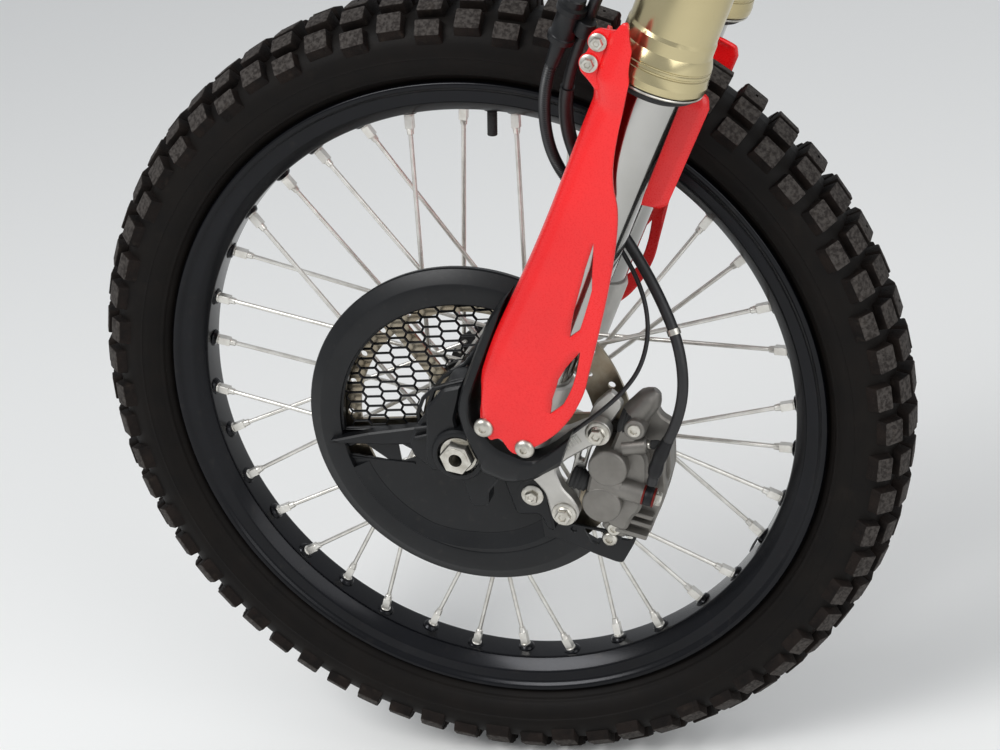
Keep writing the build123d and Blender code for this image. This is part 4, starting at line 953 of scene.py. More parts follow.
@dataclass
class Guard:
    """The moulded fork guard: a channel round the front of an inner tube, with two slots and a bolted ear."""

    # Height up the leg, reach to the front, to the outside and to the inside
    stations: tuple = ((39, 34, 32.5, 24), (62, 39.5, 34, 25), (110, 41.7, 35, 26), (165, 38.5, 35, 27),
        (202, 36.4, 34.6, 32), (235, 35.4, 34, 36), (308, 34.6, 34.6, 36), (326, 34.2, 35.2, 36),
        (340, 37.6, 38.6, 39), (350, 40.6, 40.4, 40.6), (396, 41.4, 40.8, 41))
    low: float = 36.0
    high: float = 397.0
    corner: float = 19.0
    wall: float = 3.0
    # Rear edge of the outer wall: height up the leg, place behind its centre
    rear: tuple = ((36, 9.2), (49, 19.9), (60, 27), (72, 32.8), (92, 38), (108, 39.2), (130, 36.8), (157, 33.5),
        (195, 28), (233, 20.5), (259, 12.4), (276, 2.9), (290, -2.2), (312, -6.7), (341, -10.4), (358, -12.4),
        (371, -14.6), (384, -16.5), (397, -18))
    # Rear edge of the inner wall: heights up the leg, and places behind its centre
    inner_rear: tuple = ((36, 225, 232, 238, 243, 248, 330, 340, 352, 397),
        (-19, -20, -14, 10, 36, 41, 43, 38, 21, 19))
    # Foot of the outer wall: place behind the leg's centre, height up it
    foot: tuple = ((-41, 72), (-37, 69.5), (-34, 64), (-30.5, 54.5), (-26, 47), (-19, 41), (-14.2, 38.2),
        (-11, 41), (-7.5, 42.6), (-3, 40.2), (2, 36.6), (6, 35.4), (10, 36), (42, 36))
    # Top of the wall: place behind the leg's centre, height up it
    top: tuple = ((-46, 381), (-37, 381.8), (-34.5, 383.5), (-32.6, 388), (-30.8, 392.5), (-28.4, 394),
        (-26.2, 391.5), (-24.2, 387.5), (-21.6, 382.5), (-18, 376.5), (-14.6, 370), (40, 364))
    # Slots: height up the leg, front and rear side
    slots: tuple = (((82, 21.2, 21.4), (93.8, 18.6, 27.9), (112.1, 17.4, 29.4), (125, 19.6, 28.4),
        (134, 22.4, 26.8), (141.6, 25, 25.2)), ((150, 13.9, 14.1), (158.7, 11.6, 19), (172.1, 9.4, 18.2),
        (193.2, 7.4, 16.4), (206, 6, 12), (218, 5.4, 8.4), (228, 4.8, 5)))
    # Steps across the outer wall behind the slots, over them and ahead of them
    steps: tuple = (6, 4, 6)
    ear: tuple = ((-33, 384), (-37, 382.5), (-46, 380.5), (-50.5, 374), (-47.6, 368), (-47.4, 362.6),
        (-50.5, 355), (-48.5, 347), (-40, 342.5), (-36, 340), (-33, 337.5), (-27, 340), (-25, 384))
    ear_reach: float = 127.6

    def section(self, height: Array, part: Array) -> Array:
        """Points round the channel: from the outer wall's front, round its front corners, to the inner wall's rear.

        The corners are quarter circles, the front wall is flat and the inner wall ends a little behind the leg's
        centre.

        Args:
            height: heights up the leg, one for each row.
            part: place along the section, one for each column: corner from 1, front wall from 2, corner from 2.2 and
                inner wall from 3.2 to 4.2.

        Returns:
            Points behind the leg, left of it and up it.
        """
        front, out, inward = through(self.stations, height).T[:, :, None]
        end = np.interp(height, *self.inner_rear)[:, None]
        r = self.corner
        part = part[None] + 0 * front
        turn_one, turn_two = (np.clip(part - start, 0, 1) * pi / 2 for start in (1, 2.2))
        flat, last = np.clip((part - 2) / 0.2, 0, 1), np.clip(part - 3.2, 0, 1)
        x = -front + r - r * np.sin(turn_one)
        y = np.where(part > 2, out - r - flat * (out + inward - 2 * r), out - r + r * np.cos(turn_one))
        x = np.where(part > 2.2, -front + r - r * np.cos(turn_two), x)
        y = np.where(part > 2.2, -inward + r - r * np.sin(turn_two), y)
        x = np.where(part > 3.2, -front + r + last * (end + front - r), x)
        y = np.where(part > 3.2, -inward, y)
        return np.stack((x, y, height[:, None] + 0 * x), -1)

    def outer(self, heights: Array) -> Array:
        """The outer wall, one plane at a height, with columns that follow the slots' sides.

        Between the slots the columns run on at fixed shares of the wall's width.

        Args:
            heights: heights up the leg, one for each row.

        Returns:
            Points behind the leg, left of it and up it.
        """
        front, out, _ = through(self.stations, heights).T
        near, far = -front + self.corner, through(self.rear, heights)
        rest = (0.35, 0.55)
        knots = [(self.low, *rest)]
        for slot in self.slots:
            height, slot_front, slot_rear = np.array(slot).T
            width, edge = np.interp(height, heights, far - near), np.interp(height, heights, far)
            knots.extend(np.column_stack((height, (edge - slot_rear) / width, (edge - slot_front) / width)))
        place, first, last = np.array([*knots, (270, *rest), (self.high, *rest)], float).T
        first, last = np.interp(heights, place, first), np.interp(heights, place, last)
        last = far - np.maximum(last, first + 0.004) * (far - near)
        first = far - first * (far - near)
        stops = [far[:, None]]
        for start, end, steps in zip((far, first, last), (first, last, near), self.steps):
            stops.append(start[:, None] + (end - start)[:, None] * np.linspace(0, 1, steps + 1)[None, 1:])
        x = np.concatenate(stops, 1)
        return np.stack((x, out[:, None] + 0 * x, heights[:, None] + 0 * x), -1)

    def trim(self, points: Array) -> None:
        """Draws the lowest and highest rows together onto the foot's and the top's lines, and presses in a crease.

        The crease is a bell curve along the outer wall ahead of the slots.

        Args:
            points: the channel's points, changed in place.
        """
        x, y, z = np.moveaxis(points, -1, 0)
        place = np.clip(x, -41, 40).ravel()
        edge, top = (through(table, place).reshape(x.shape) for table in (self.foot, self.top))
        edge = 40 + (edge - 40) * np.clip((y + 18) / 25, 0, 1)
        top += (352 - top) * np.clip((20 - y) / 42, 0, 1)
        z = np.where(z < edge + 14, edge + (z - self.low) * 14 / (edge + 14 - self.low), z)
        z = np.where(z > top - 16, top - (self.high - z) * 16 / (self.high + 16 - top), z)
        points[..., 2] = z
        crease = np.exp(-((x + 19) / 5.0) ** 2) * (y > 10)
        crease *= np.clip((z - 90) / 30, 0, 1) * np.clip((320 - z) / 30, 0, 1)
        points[..., 1] -= crease * 0.9

    def build(self) -> None:
        """The channel as one grid, thickened inwards, with the slots' faces left out; the right one mirrors it."""
        heights = np.unique(np.concatenate([np.linspace(self.low, self.high, 130), np.linspace(self.low, 80, 45),
                                            *(np.array(slot)[:, 0] for slot in self.slots)]))
        part = np.concatenate([np.linspace(start, start + span, steps + 1)[1:]
                               for start, span, steps in ((1, 1, 18), (2, 0.2, 6), (2.2, 1, 8), (3.2, 1, 8))])
        points = np.concatenate((self.outer(heights), self.section(heights, part)), 1)
        self.trim(points)
        inside = np.array([(heights >= slot[0][0] - 0.01) & (heights <= slot[-1][0] + 0.01) for slot in self.slots])
        column = np.arange(points.shape[1] - 1)
        over = (column >= self.steps[0]) & (column < self.steps[0] + self.steps[1])
        gap = (inside[:, :-1] & inside[:, 1:]).any(0)[:, None] & over
        shape = Shape()
        shape.add(LAYOUT.leg(Side.LEFT).at(points), grid(*points.shape[:2])[~gap.reshape(-1)][:, ::-1])
        for name, half in (("left", shape), ("right", shape.mirrored())):
            half.piece(f"guard_{name}_moulded", "guard_red", "guard_" + name, sharp=40, wall=self.wall)
        self.ears()

    def ears(self) -> None:
        """The ear at the top with its plate, and the bolts of the ear and of the foot."""
        shape, bolts, face = Shape(), Shape(), self.ear_reach + 4
        shape.slabs(FORK, ((3.0, self.ear_reach, face, 0.8, self.ear),))
        for t, s in ((-42.8, 371.5), (-43.6, 354.7)):
            shape.lathe(FORK, [(0.2, face), (7.4, face), (7.2, face + 0.8), (0.2, face + 0.8)], 28, centre=(t, s))
            bolts.bolt(FORK, t, s, face + 0.8, 8.2, 6.6, 5.2)
        for t, s in ((-22.4, 46.4), (12.9, 43.8)):
            bolts.screw(FORK, t, s, 130.4, 8.0, 4.6)
        for name, ear, heads in (("left", shape, bolts), ("right", shape.mirrored(), bolts.mirrored())):
            ear.piece("guard_ear_" + name, "guard_red")
            heads.piece("guard_bolts_" + name, "fastener_zinc")


@dataclass
class Legs:
    """The outer tubes, turned with steps and grooves, the inner tubes and their seals."""

    # Height of the outer tube's foot up the leg
    foot: float = 352.0
    # Radius and height above the foot: up the outside of the outer tube and down its bore
    outer: tuple = ((29, 0), (35.6, 0), (37.2, 0.8), (37.6, 2), (37.6, 6.4), (37.2, 7.8), (36.5, 13.2),
        (35.7, 13.8), (35.7, 14.8), (36.3, 15.4), (36.1, 17), (35.4, 17.6), (35.4, 18.4), (35.9, 19),
        (35.7, 20.2), (33.3, 26.8), (33, 27.4), (32.9, 36.4), (32.7, 37), (32, 39.4), (32, 110), (31.75, 110.4),
        (31.75, 111.6), (32, 112), (32, 220), (29.5, 290), (29.5, 587), (28.5, 588), (24.9, 588), (24.9, 12),
        (29, 12))
    ring: tuple = ((32.0, -2.2), (36.4, -2.2), (36.9, -1.4), (36.4, -0.6), (32.0, -0.6))
    inner: tuple = ((24.0, -312.0), (24.5, -311.0), (24.5, 247.0), (24.0, 248.0), (21.0, 248.0), (21.0, -312.0))
    seal: tuple = ((24.9, 0), (24.7, -8.5), (25.4, -10), (27.5, -9.6), (31.6, -7), (33, -5.6), (33, -2.4),
        (32.2, -1.8), (32.2, 0))

    def build(self) -> None:
        """Each part is a profile turned round its leg."""
        for side in Side:
            name = side.name.lower()
            for piece, profile, slot, nodes, sharp in (
                    ("outer_tube_turned_", self.outer, "gold_anodised", ("outer_tube_" + name,), 12),
                    ("seal_ring_", self.ring, "fastener_zinc", (), 24),
                    ("inner_tube_polished_", self.inner, "tube_steel", ("inner_tube_" + name,), 30),
                    ("dust_seal_moulded_", self.seal, "seal_rubber", ("dust_seal_" + name,), 24)):
                shape = Shape()
                shape.lathe(LAYOUT.leg(side), np.array(profile) + (0, self.foot))
                shape.piece(piece + name, slot, *nodes, sharp=sharp)


@dataclass
class Hoses:
    """The brake hose and the sensor's cable, on the lines of the drawing."""

    hose_radius: float = 4.5
    cable_radius: float = 2.0
    hose: tuple = ((148, -90.5, -38), (158, -95, -12), (177, -99, 18), (187, -99, 50), (185, -92, 85),
        (172, -80, 118), (155, -67, 148), (134, -56.5, 182), (119, -56.5, 217), (116, -66, 252), (127, -84, 290),
        (154, -100, 340), (190, -107, 395), (222, -107, 452), (254, -106, 512), (284, -102, 566),
        (312, -92, 612), (340, -81, 655), (372, -72, 694), (408, -68, 726))
    cable: tuple = ((66, -97.2, -7), (80, -97.9, 4), (98, -99, 16), (118, -100, 30), (138, -99, 46),
        (153, -95, 63), (161, -89, 84), (162, -82, 106), (156, -73, 127), (145, -64, 147), (131, -57, 170),
        (114, -56, 194), (103, -58, 216), (101, -68, 240), (106, -82, 270), (116, -94, 298), (132, -101, 326))
    # Shares of the hose's length with the sleeve and with the band
    sleeve: tuple = (0.42, 0.52)
    band: tuple = (0.217, 0.229)
    # Radii along the crimp at the hose's lower end
    crimp: tuple = (4.0, 5.4, 5.9, 5.9, 5.4, 5.4, 5.9, 5.9, 5.5, 5.0, 4.6)
    # Where the clamp stands and which way it points
    clamp_foot: tuple = (132.5, -101.0, 326.5)
    clamp_way: tuple = (16.0, -6.0, 28.5)
    # Distance along the clamp and its radius: a soft taper, a collar, the barrel, a second collar; and its strap
    barrel: tuple = ((-22, 4.6), (-21, 5.2), (-2, 6.2), (0, 8.2), (0.4, 10.2), (4.6, 10.6), (5.2, 9.6), (6, 9.2),
        (24, 9.2), (25, 9.8), (25.4, 11), (29.6, 11), (30, 10.2), (31, 8.6), (36, 8.4), (37, 7.4))
    strap: tuple = ((-6, 6.6), (-5.4, 7.2), (5.4, 7.2), (6, 6.6))

    def line(self, points: tuple, steps: int = 8) -> Array:
        """The smooth line with the drawing's points as its control points."""
        return spline(np.array(points, float) + LAYOUT.axle, steps)

    def build(self) -> None:
        """The hose with its crimp, sleeve and band, the cable with its ribbed conduit, and their clamp."""
        hose, steel, cable = Shape(), Shape(), Shape()
        path = self.line(self.hose)
        share = np.linspace(0, 1, len(path))
        sleeve, band = (path[(share > low) & (share < high)] for low, high in (self.sleeve, self.band))
        hose.tube(path, self.hose_radius - 0.15, 18)
        hose.tube(sleeve, self.hose_radius + 0.9, 18)
        hose.piece("brake_hose_covered", "hose_rubber", "brake_hose", sharp=50)
        steel.tube(path[2:2 + len(self.crimp)], self.crimp, 20, mark=1)
        steel.tube(band, self.hose_radius + 0.8, 20)
        steel.piece("hose_crimps", "fastener_zinc", extra=(Stock.CLAMP,), sharp=30)
        cable.tube(self.line(self.cable), self.cable_radius - 0.2, 12)
        conduit = self.line(self.cable[10:], 60)
        cable.tube(conduit, 4.1 + 0.5 * np.cos(np.arange(len(conduit)) * pi / 2))
        cable.piece("sensor_cable_covered", "hose_rubber", "sensor_cable", sharp=50)
        self.clamp()

    def clamp(self) -> None:
        """The moulded clamp that joins the conduit and the hose in front of the leg, and its strap."""
        shape = Shape()
        end = LAYOUT.axle + self.clamp_foot
        way = np.array(self.clamp_way) / np.linalg.norm(self.clamp_way)
        for foot, table, sides in ((end, self.barrel, 32), (end + 17 * way + (12.5, -1.5, -6.0), self.strap, 24)):
            stops = np.array(table)
            shape.tube(foot + stops[:, :1] * way, stops[:, 1], sides, across=(0.0, 1.0, 0.3))
        shape.piece("hose_clamp", "cover_black", sharp=34)


# Disc cover and brake

@dataclass
class Cover:
    """The disc cover, its mesh window, the shield round the leg's foot and the axle's nut."""

    # Distance left of the wheel's middle and radius, from the back edge over the bevel to the window's step and back
    section: tuple = ((58, 138), (58, 140.6), (62.4, 141.2), (64, 140.4), (70.4, 130.6), (71, 129), (71, 114),
        (70.6, 113), (69.4, 112.6), (66, 112.6), (66, 126), (62.2, 136))
    # The web: its edge behind the ring, and the long slot that a bar parts
    web_edge: tuple = ((54, -84), (50, -60), (46, -40), (36, -16), (16, -24), (-8, -24), (-30, -8), (-48, 4))
    slot: tuple = ((-119, -18.6), (-113.5, -13.6), (-100, -9.5), (-66, -11), (-52, -20), (-56, -25),
        (-66, -27.5), (-80, -26.5), (-112, -19.5))
    slot_bar: tuple = (-78, -72)
    # The slope on the web: degrees, and the radius of its top edge there
    slope_edge: tuple = ((195, 240, 262, 285, 306), (112.8, 112.8, 109.0, 108.5, 107.0))
    # Inwards from that edge, and the height: down the slope and back under it
    slope_steps: tuple = ((0.0, 70.9), (1.0, 70.5), (11.5, 66.6), (13.0, 66.3), (13.0, 63.4))
    ribs: tuple = (((-118, -21.5), (-56, -29.5)), ((-50, 2), (-14, 9)), ((-48, -6), (-12, 2)))
    # The tail plate under the caliper, and its gap, slit and bead
    tail: tuple = ((46, -76), (58, -80), (70, -84), (96, -90), (124.5, -95.5), (121, -103), (109, -121),
        (104, -120.5), (88, -113.5), (70, -104), (56, -97), (46, -98))
    gap: tuple = ((80.0, -88.6), (96.8, -92.8), (90.4, -104.6), (84.6, -101.0))
    slit: tuple = ((110.5, -95.0), (121.0, -97.4), (119.0, -100.4), (110.5, -98.8))
    # Rounding, lower and upper height, bevel and corners of plates: the pad of the lower cover bolt
    pad: tuple = ((4, 65.5, 79.6, 2.2, ((22, -40), (30, -32), (42, -37), (52, -43), (58.5, -62), (58, -88),
        (52, -86), (48, -72), (28, -72))),)
    pad_seat: tuple = ((0.1, 79.0), (13.5, 79.0), (13.2, 79.8), (12.0, 80.0), (7.0, 79.8), (0.1, 79.8))
    pad_bolt: tuple = (45.0, -53.0)
    # The window's lower edge, and the radius of its arc
    pane_edge: tuple = ((38, 107), (24, 88), (11, 69.5), (2, 60), (-18, 50), (-27, 40), (-39, 31), (-46, 18), (-47, 5))
    pane_radius: float = 111.0
    # A mesh cell's length and height, the gap between two cells, and the slant of its ends
    cell: tuple = (15.8, 7.0, 1.6, 0.62)
    # The collar's inner and outer edge, from the leg's front, round, to its rear
    collar_inner: tuple = ((-42.6, 151), (-42.6, 110), (-42.6, 64), (-40, 50), (-35.5, 39), (-22, 30),
        (-5, 23.6), (12, 23.6), (21, 27), (30, 39), (41, 61))
    collar_outer: tuple = ((-43, 148), (-51, 119), (-51.5, 62), (-50, 44), (-39.5, 24.5), (-21.6, 3.6),
        (-11.4, -6.3), (3, -6), (25, 5), (34, 17), (42, 28))
    # Share of the way from inner to outer edge, and the height there
    collar_steps: tuple = ((0.0, 116.4), (0.1, 117.7), (0.24, 118.0), (0.72, 116.0), (0.9, 113.0), (1.0, 109.0))
    # Plates of the shield: the panel, the step beside the nut, the fin, two ledges and the tab under the collar
    plates: tuple = ((3, 68, 95, 2.4, ((-47, 3), (-39, 17), (-26, 31), (-14, 47), (-5, 57), (12, 60), (13, 52),
        (4, 44), (-1, 37), (-8, 26), (-17, 20), (-23, 8), (-24, -8), (-19, -20), (-32, -20), (-44, -9))), (3, 90,
        106.5, 2, ((-30, -6), (-21, 40), (-5, 56), (12, 59), (8, 47), (1, 30), (2, 18), (-4, 14), (-19, -16),
        (-27, -16))), (0.9, 66.5, 77.6, 1.4, ((-122.5, -1.6), (-104, 1.8), (-87.4, 4.6), (-44, 9), (-44, -7.2),
        (-80, -6.2), (-113.6, -4.4))), (0.8, 93, 99.5, 0.9, ((-37, 20), (-8, 23.4), (1, 27), (1, 23.6), (-8, 20),
        (-37, 16.6))), (0.8, 93, 99.5, 0.9, ((-39, 11.6), (-19, 15.6), (-19, 12), (-39, 8.2))), (2.2, 84, 102.5,
        1.6, ((-4, -22), (-2.2, -39.1), (0, -50.6), (13.8, -50.7), (16.5, -38), (27, -27), (22, -14))))
    nut_ring: tuple = ((16.6, 92), (16.6, 110.6), (17.2, 111.8), (18.6, 112), (20.8, 111.4), (22.2, 109.4),
        (22.5, 106.8), (22.5, 92))
    # The frame of the sunk panel, and its opening
    sunk_frame: tuple = ((-27, 30.5), (-4, 32.5), (12, 60.5), (-16, 54.5))
    sunk: tuple = ((-22.5, 33.6), (-6, 35.2), (5.5, 55.4), (-13.5, 51.4))
    # The axle nut: radius at its corners, height, and share of the hexagon in the form
    nut: tuple = ((10.2, 109.4, 1), (13.85641, 109.4, 1), (13.85641, 116.6, 1), (13.02502, 118.2, 1),
        (8.6, 118.9, 0.35), (7, 117.6, 0), (6.2, 116.4, 0), (6.2, 112, 0), (10.2, 112, 0))
    nut_washer: tuple = ((10.1, 104.0), (15.4, 104.0), (15.4, 108.8), (15.0, 109.4), (10.1, 109.4))

    def ring(self, shape: Shape) -> None:
        """The bevelled rim: its section carried round an arc from below the tail, round the front, to the leg's top.

        Args:
            shape: the cover's shape.
        """
        angle = np.radians(np.linspace(-50.0, -305.0, 180))[:, None]
        height, radius = np.array(self.section).T[:, None]
        points = np.stack((np.cos(angle) * radius, np.sin(angle) * radius, height + 0 * angle), -1)
        shape.bar(WHEEL.at(points))

    def web(self, shape: Shape) -> None:
        """The plate between the ring and the window, with its slots and ribs, and the slope from the ring down to it.

        Args:
            shape: the cover's shape.
        """
        arc = np.linspace(radians(177.5), radians(300.0), 90)
        outline = np.concatenate((np.stack((np.cos(arc), np.sin(arc)), -1) * 114.5, self.web_edge))
        slot = rounded(self.slot, 2.0)
        holes = (slot[slot[:, 0] < self.slot_bar[0]], slot[slot[:, 0] >= self.slot_bar[1]])
        shape.plate(WHEEL, outline, 63.2, 66.0, 0.4, holes)
        angle = np.linspace(radians(195.5), radians(306.0), 100)
        reach, under = np.interp(np.degrees(angle), *self.slope_edge), 0 * angle + 113.4
        levels = ((under, 70.2), *((reach - inwards, level) for inwards, level in self.slope_steps), (under, 63.4))
        slope = stacked([(np.stack((np.cos(angle) * radius, np.sin(angle) * radius), -1), level)
                         for radius, level in levels])
        shape.bar(WHEEL.at(np.swapaxes(slope, 0, 1)))
        for start, end in self.ribs:
            shape.tube(WHEEL.at(raised(np.linspace(start, end, 12), 66.3)), 1.1, 8, across=(0, 1, 0.01))

    def frame(self, shape: Shape) -> None:
        """The tail plate, its pad, and the step round the window that drops from the cover's face to the mesh.

        Args:
            shape: the cover's shape.
        """
        bead = rounded(circle(72.0, -89.6, 2.6, 8), 1.0, 2)
        shape.plate(WHEEL, rounded(self.tail, 4.0), 69.6, 72.6, 0.5, (rounded(self.gap, 2.6), rounded(self.slit, 1.2),
                                                                      bead))
        shape.slabs(WHEEL, self.pad)
        shape.lathe(WHEEL, self.pad_seat, 40, centre=self.pad_bolt)
        pane = wind(self.pane(), 1)
        lip = inset(pane, -1.2)
        on_arc = (np.hypot(*pane.T) > 105)[:, None]
        wide = np.where(on_arc, pane * (113.4 / self.pane_radius), inset(pane, -3.0))
        levels = ((wide, 65.6), (wide, 68.5), (lip, 68.5), (pane, 67.6), (pane, 62.6), (lip, 62.4))
        shape.sheet(WHEEL.at(stacked(levels)), close_rows=True, close_cols=True)

    def pane(self) -> Array:
        """The window's outline: an arc over the front and top, and the shield's edge below."""
        arc = np.radians(np.linspace(178.0, 69.0, 50))
        return np.concatenate((np.stack((np.cos(arc), np.sin(arc)), -1) * self.pane_radius, self.pane_edge))

    def inside(self, points: Array, outline: Array, margin: float) -> Array:
        """Whether points lie in an outline, at least a margin from its corners: by counting crossed sides.

        Args:
            points: the points.
            outline: the corners.
            margin: the least distance from a corner.

        Returns:
            True or false for each point.
        """
        x, y = points[:, None, 0], points[:, None, 1]
        x0, y0 = outline.T[:, None]
        x1, y1 = np.roll(outline, -1, 0).T[:, None]
        rise = np.where(np.abs(y1 - y0) < 1e-9, 1e-9, y1 - y0)
        cross = ((y0 > y) != (y1 > y)) & (x < x0 + (y - y0) * (x1 - x0) / rise)
        return (cross.sum(1) % 2 == 1) & (np.hypot(x - x0, y - y0).min(1) > margin)

    def mesh(self) -> None:
        """The window's mesh: rows of long hexagons with bevelled edges, kept where their centre is in the window."""
        shape = Shape()
        length, height, gap, slant = self.cell
        step_x, step_z = length * 2 - height * slant + 2 * gap, height + gap
        half, flat, rise = length / 2, length / 2 - height / 2 * slant, height / 2
        cell = np.array(((half, 0), (flat, rise), (-flat, rise), (-half, 0), (-flat, -rise), (flat, -rise)))
        outer = cell * (1 + 0.92 * gap / length * 2, 1 + gap / height) * (0.97, 1.0)
        ring = stacked(((outer, 60.6), (outer, 61.7), (cell * 1.05, 62.4), (cell, 61.9), (cell, 60.6)))
        for shift in (0, 1):
            x = -52 + (np.arange(6) - 2.5) * step_x + shift * step_x / 2
            z = 56 + (np.arange(17) - 8) * step_z + shift * step_z / 2
            centres = np.stack(np.meshgrid(x, z), -1).reshape(-1, 2)
            for a, b in centres[self.inside(centres, self.pane() * 1.02, 1.5)]:
                shape.sheet(WHEEL.at(ring + (a, b, 0)), close_rows=True, close_cols=True)
        shape.piece("cover_mesh", "cover_black", "cover_grille", sharp=25)

    def shield(self) -> None:
        """The collar, whose section is carried round the leg's foot, and the panels, the nut's ring and the fin."""
        shape = Shape()
        s, fine = np.linspace(0, 1, len(self.collar_inner)), np.linspace(0, 1, 90)
        inner, outer = smooth(fine, s, self.collar_inner), smooth(fine, s, self.collar_outer)
        back = np.interp(fine, (0, 0.3, 0.5, 1), (90.0, 84.0, 88.0, 100.0))
        rows = [raised(inner + (outer - inner) * share, level) for share, level in self.collar_steps]
        rows = [np.column_stack((inner, back)), *rows, np.column_stack((outer, back))]
        shape.bar(FORK.at(np.stack(rows, 1)))
        shape.slabs(WHEEL, self.plates)
        shape.lathe(WHEEL, self.nut_ring, 72)
        shape.plate(WHEEL, rounded(self.sunk_frame, 2.0), 93.5, 98.6, 0.8, (rounded(self.sunk, 1.6),))
        shape.piece("cover_shield_moulded", "cover_black", "cover_shield", sharp=26)

    def fixings(self) -> None:
        """The hollow axle nut on its washer, and the bolts of the cover.

        The nut's rings are circles drawn in to a hexagon: half the width over the cosine of the angle off a flat.
        """
        shape = Shape()
        ring = stacked([(circle(0, 0, size, 48), level) for size, level, _ in self.nut])
        angle = np.degrees(np.arctan2(ring[..., 1], ring[..., 0])) - 14
        flat = cos(pi / 6) / np.cos(np.radians((angle + 30) % 60 - 30))
        ring[..., :2] *= (1 + np.array(self.nut)[:, 2:] * (flat - 1))[..., None]
        shape.sheet(WHEEL.at(ring), close_rows=True, close_cols=True)
        shape.lathe(WHEEL, self.nut_washer, 48)
        shape.piece("axle_nut_turned", "axle_steel", "axle_nut", sharp=26)
        bolts = Shape()
        bolts.bolt(WHEEL, *self.pad_bolt, 80.0, 10.0, 9.2, 6.6, turn=20, dish=0.8)
        bolts.screw(WHEEL, 101.6, -97.6, 72.6, 6.6, 4.2)
        bolts.piece("cover_bolts", "fastener_zinc", sharp=30)

    def build(self) -> None:
        """Makes the cover, the shield, the mesh, the nut and the bolts."""
        cover = Shape()
        for part in (self.ring, self.web, self.frame):
            part(cover)
        cover.piece("disc_cover_moulded", "cover_black", "disc_cover", sharp=26)
        self.shield()
        self.mesh()
        self.fixings()


@dataclass
class Casting:
    """The left fork bottom: the tube's socket, the axle's boss, the web, and the two arms of the caliper's lugs."""

    # Radius and height of the socket up the leg, and of the boss left of the wheel's middle
    socket: tuple = ((0.1, 34), (22, 34), (27, 38.5), (28, 41), (28, 91), (27.4, 94.5), (25.6, 96), (24.6, 96),
        (24.6, 41), (0.1, 41))
    boss: tuple = ((10.1, 74.0), (17.0, 74.0), (18.0, 75.0), (18.0, 103.0), (17.0, 104.0), (10.1, 104.0))
    # Rounding, heights, bevel and outline of the web behind the leg, and of the arms from the lower to the upper one
    web: tuple = ((4, 80, 100, 2, ((-35.4, 17), (-24, 34), (-22, 78), (10, 78), (18, 20), (8, -12),
        (-35.4, -17))),)
    arms: tuple = ((4.5, 80.2, 92, 1.4, ((36, -18), (53.5, -35.1), (60.2, -45.4), (61, -58), (62, -68),
        (66, -74.2), (73, -75.4), (80.5, -72), (84.6, -66), (85, -58.5), (81.3, -50.3), (74.4, -41.1),
        (70.7, -25.2), (80.3, -16.3), (104, -3.6), (112, -3.6), (119, 0.5), (121.6, 7.5), (119, 14.8),
        (112, 18.2), (104, 17.6), (84, 10), (62, 14), (40, 30))),)
    rib_count: int = 8
    rib_foot: tuple = (78.0, -9.5)
    rib_step: tuple = (2.6, 1.4)
    rib_way: tuple = (-3.0, 6.4)

    def build(self) -> None:
        """The parts overlap as in the casting, with bevelled edges, and ribs run across the upper arm."""
        shape = Shape()
        shape.lathe(LAYOUT.leg(Side.LEFT), self.socket, 64)
        shape.lathe(WHEEL, self.boss, 64)
        shape.slabs(FORK, self.web)
        shape.slabs(WHEEL, self.arms)
        for number in range(self.rib_count):
            foot = np.array(self.rib_foot) + np.array(self.rib_step) * number
            line = raised(np.linspace(foot, foot + self.rib_way, 4), 92.1)
            shape.tube(WHEEL.at(line), 0.8, 8, across=(0.2, 1, 0.1))
        shape.piece("fork_bottom_cast", "cast_alloy", "fork_bottom_left", sharp=30)


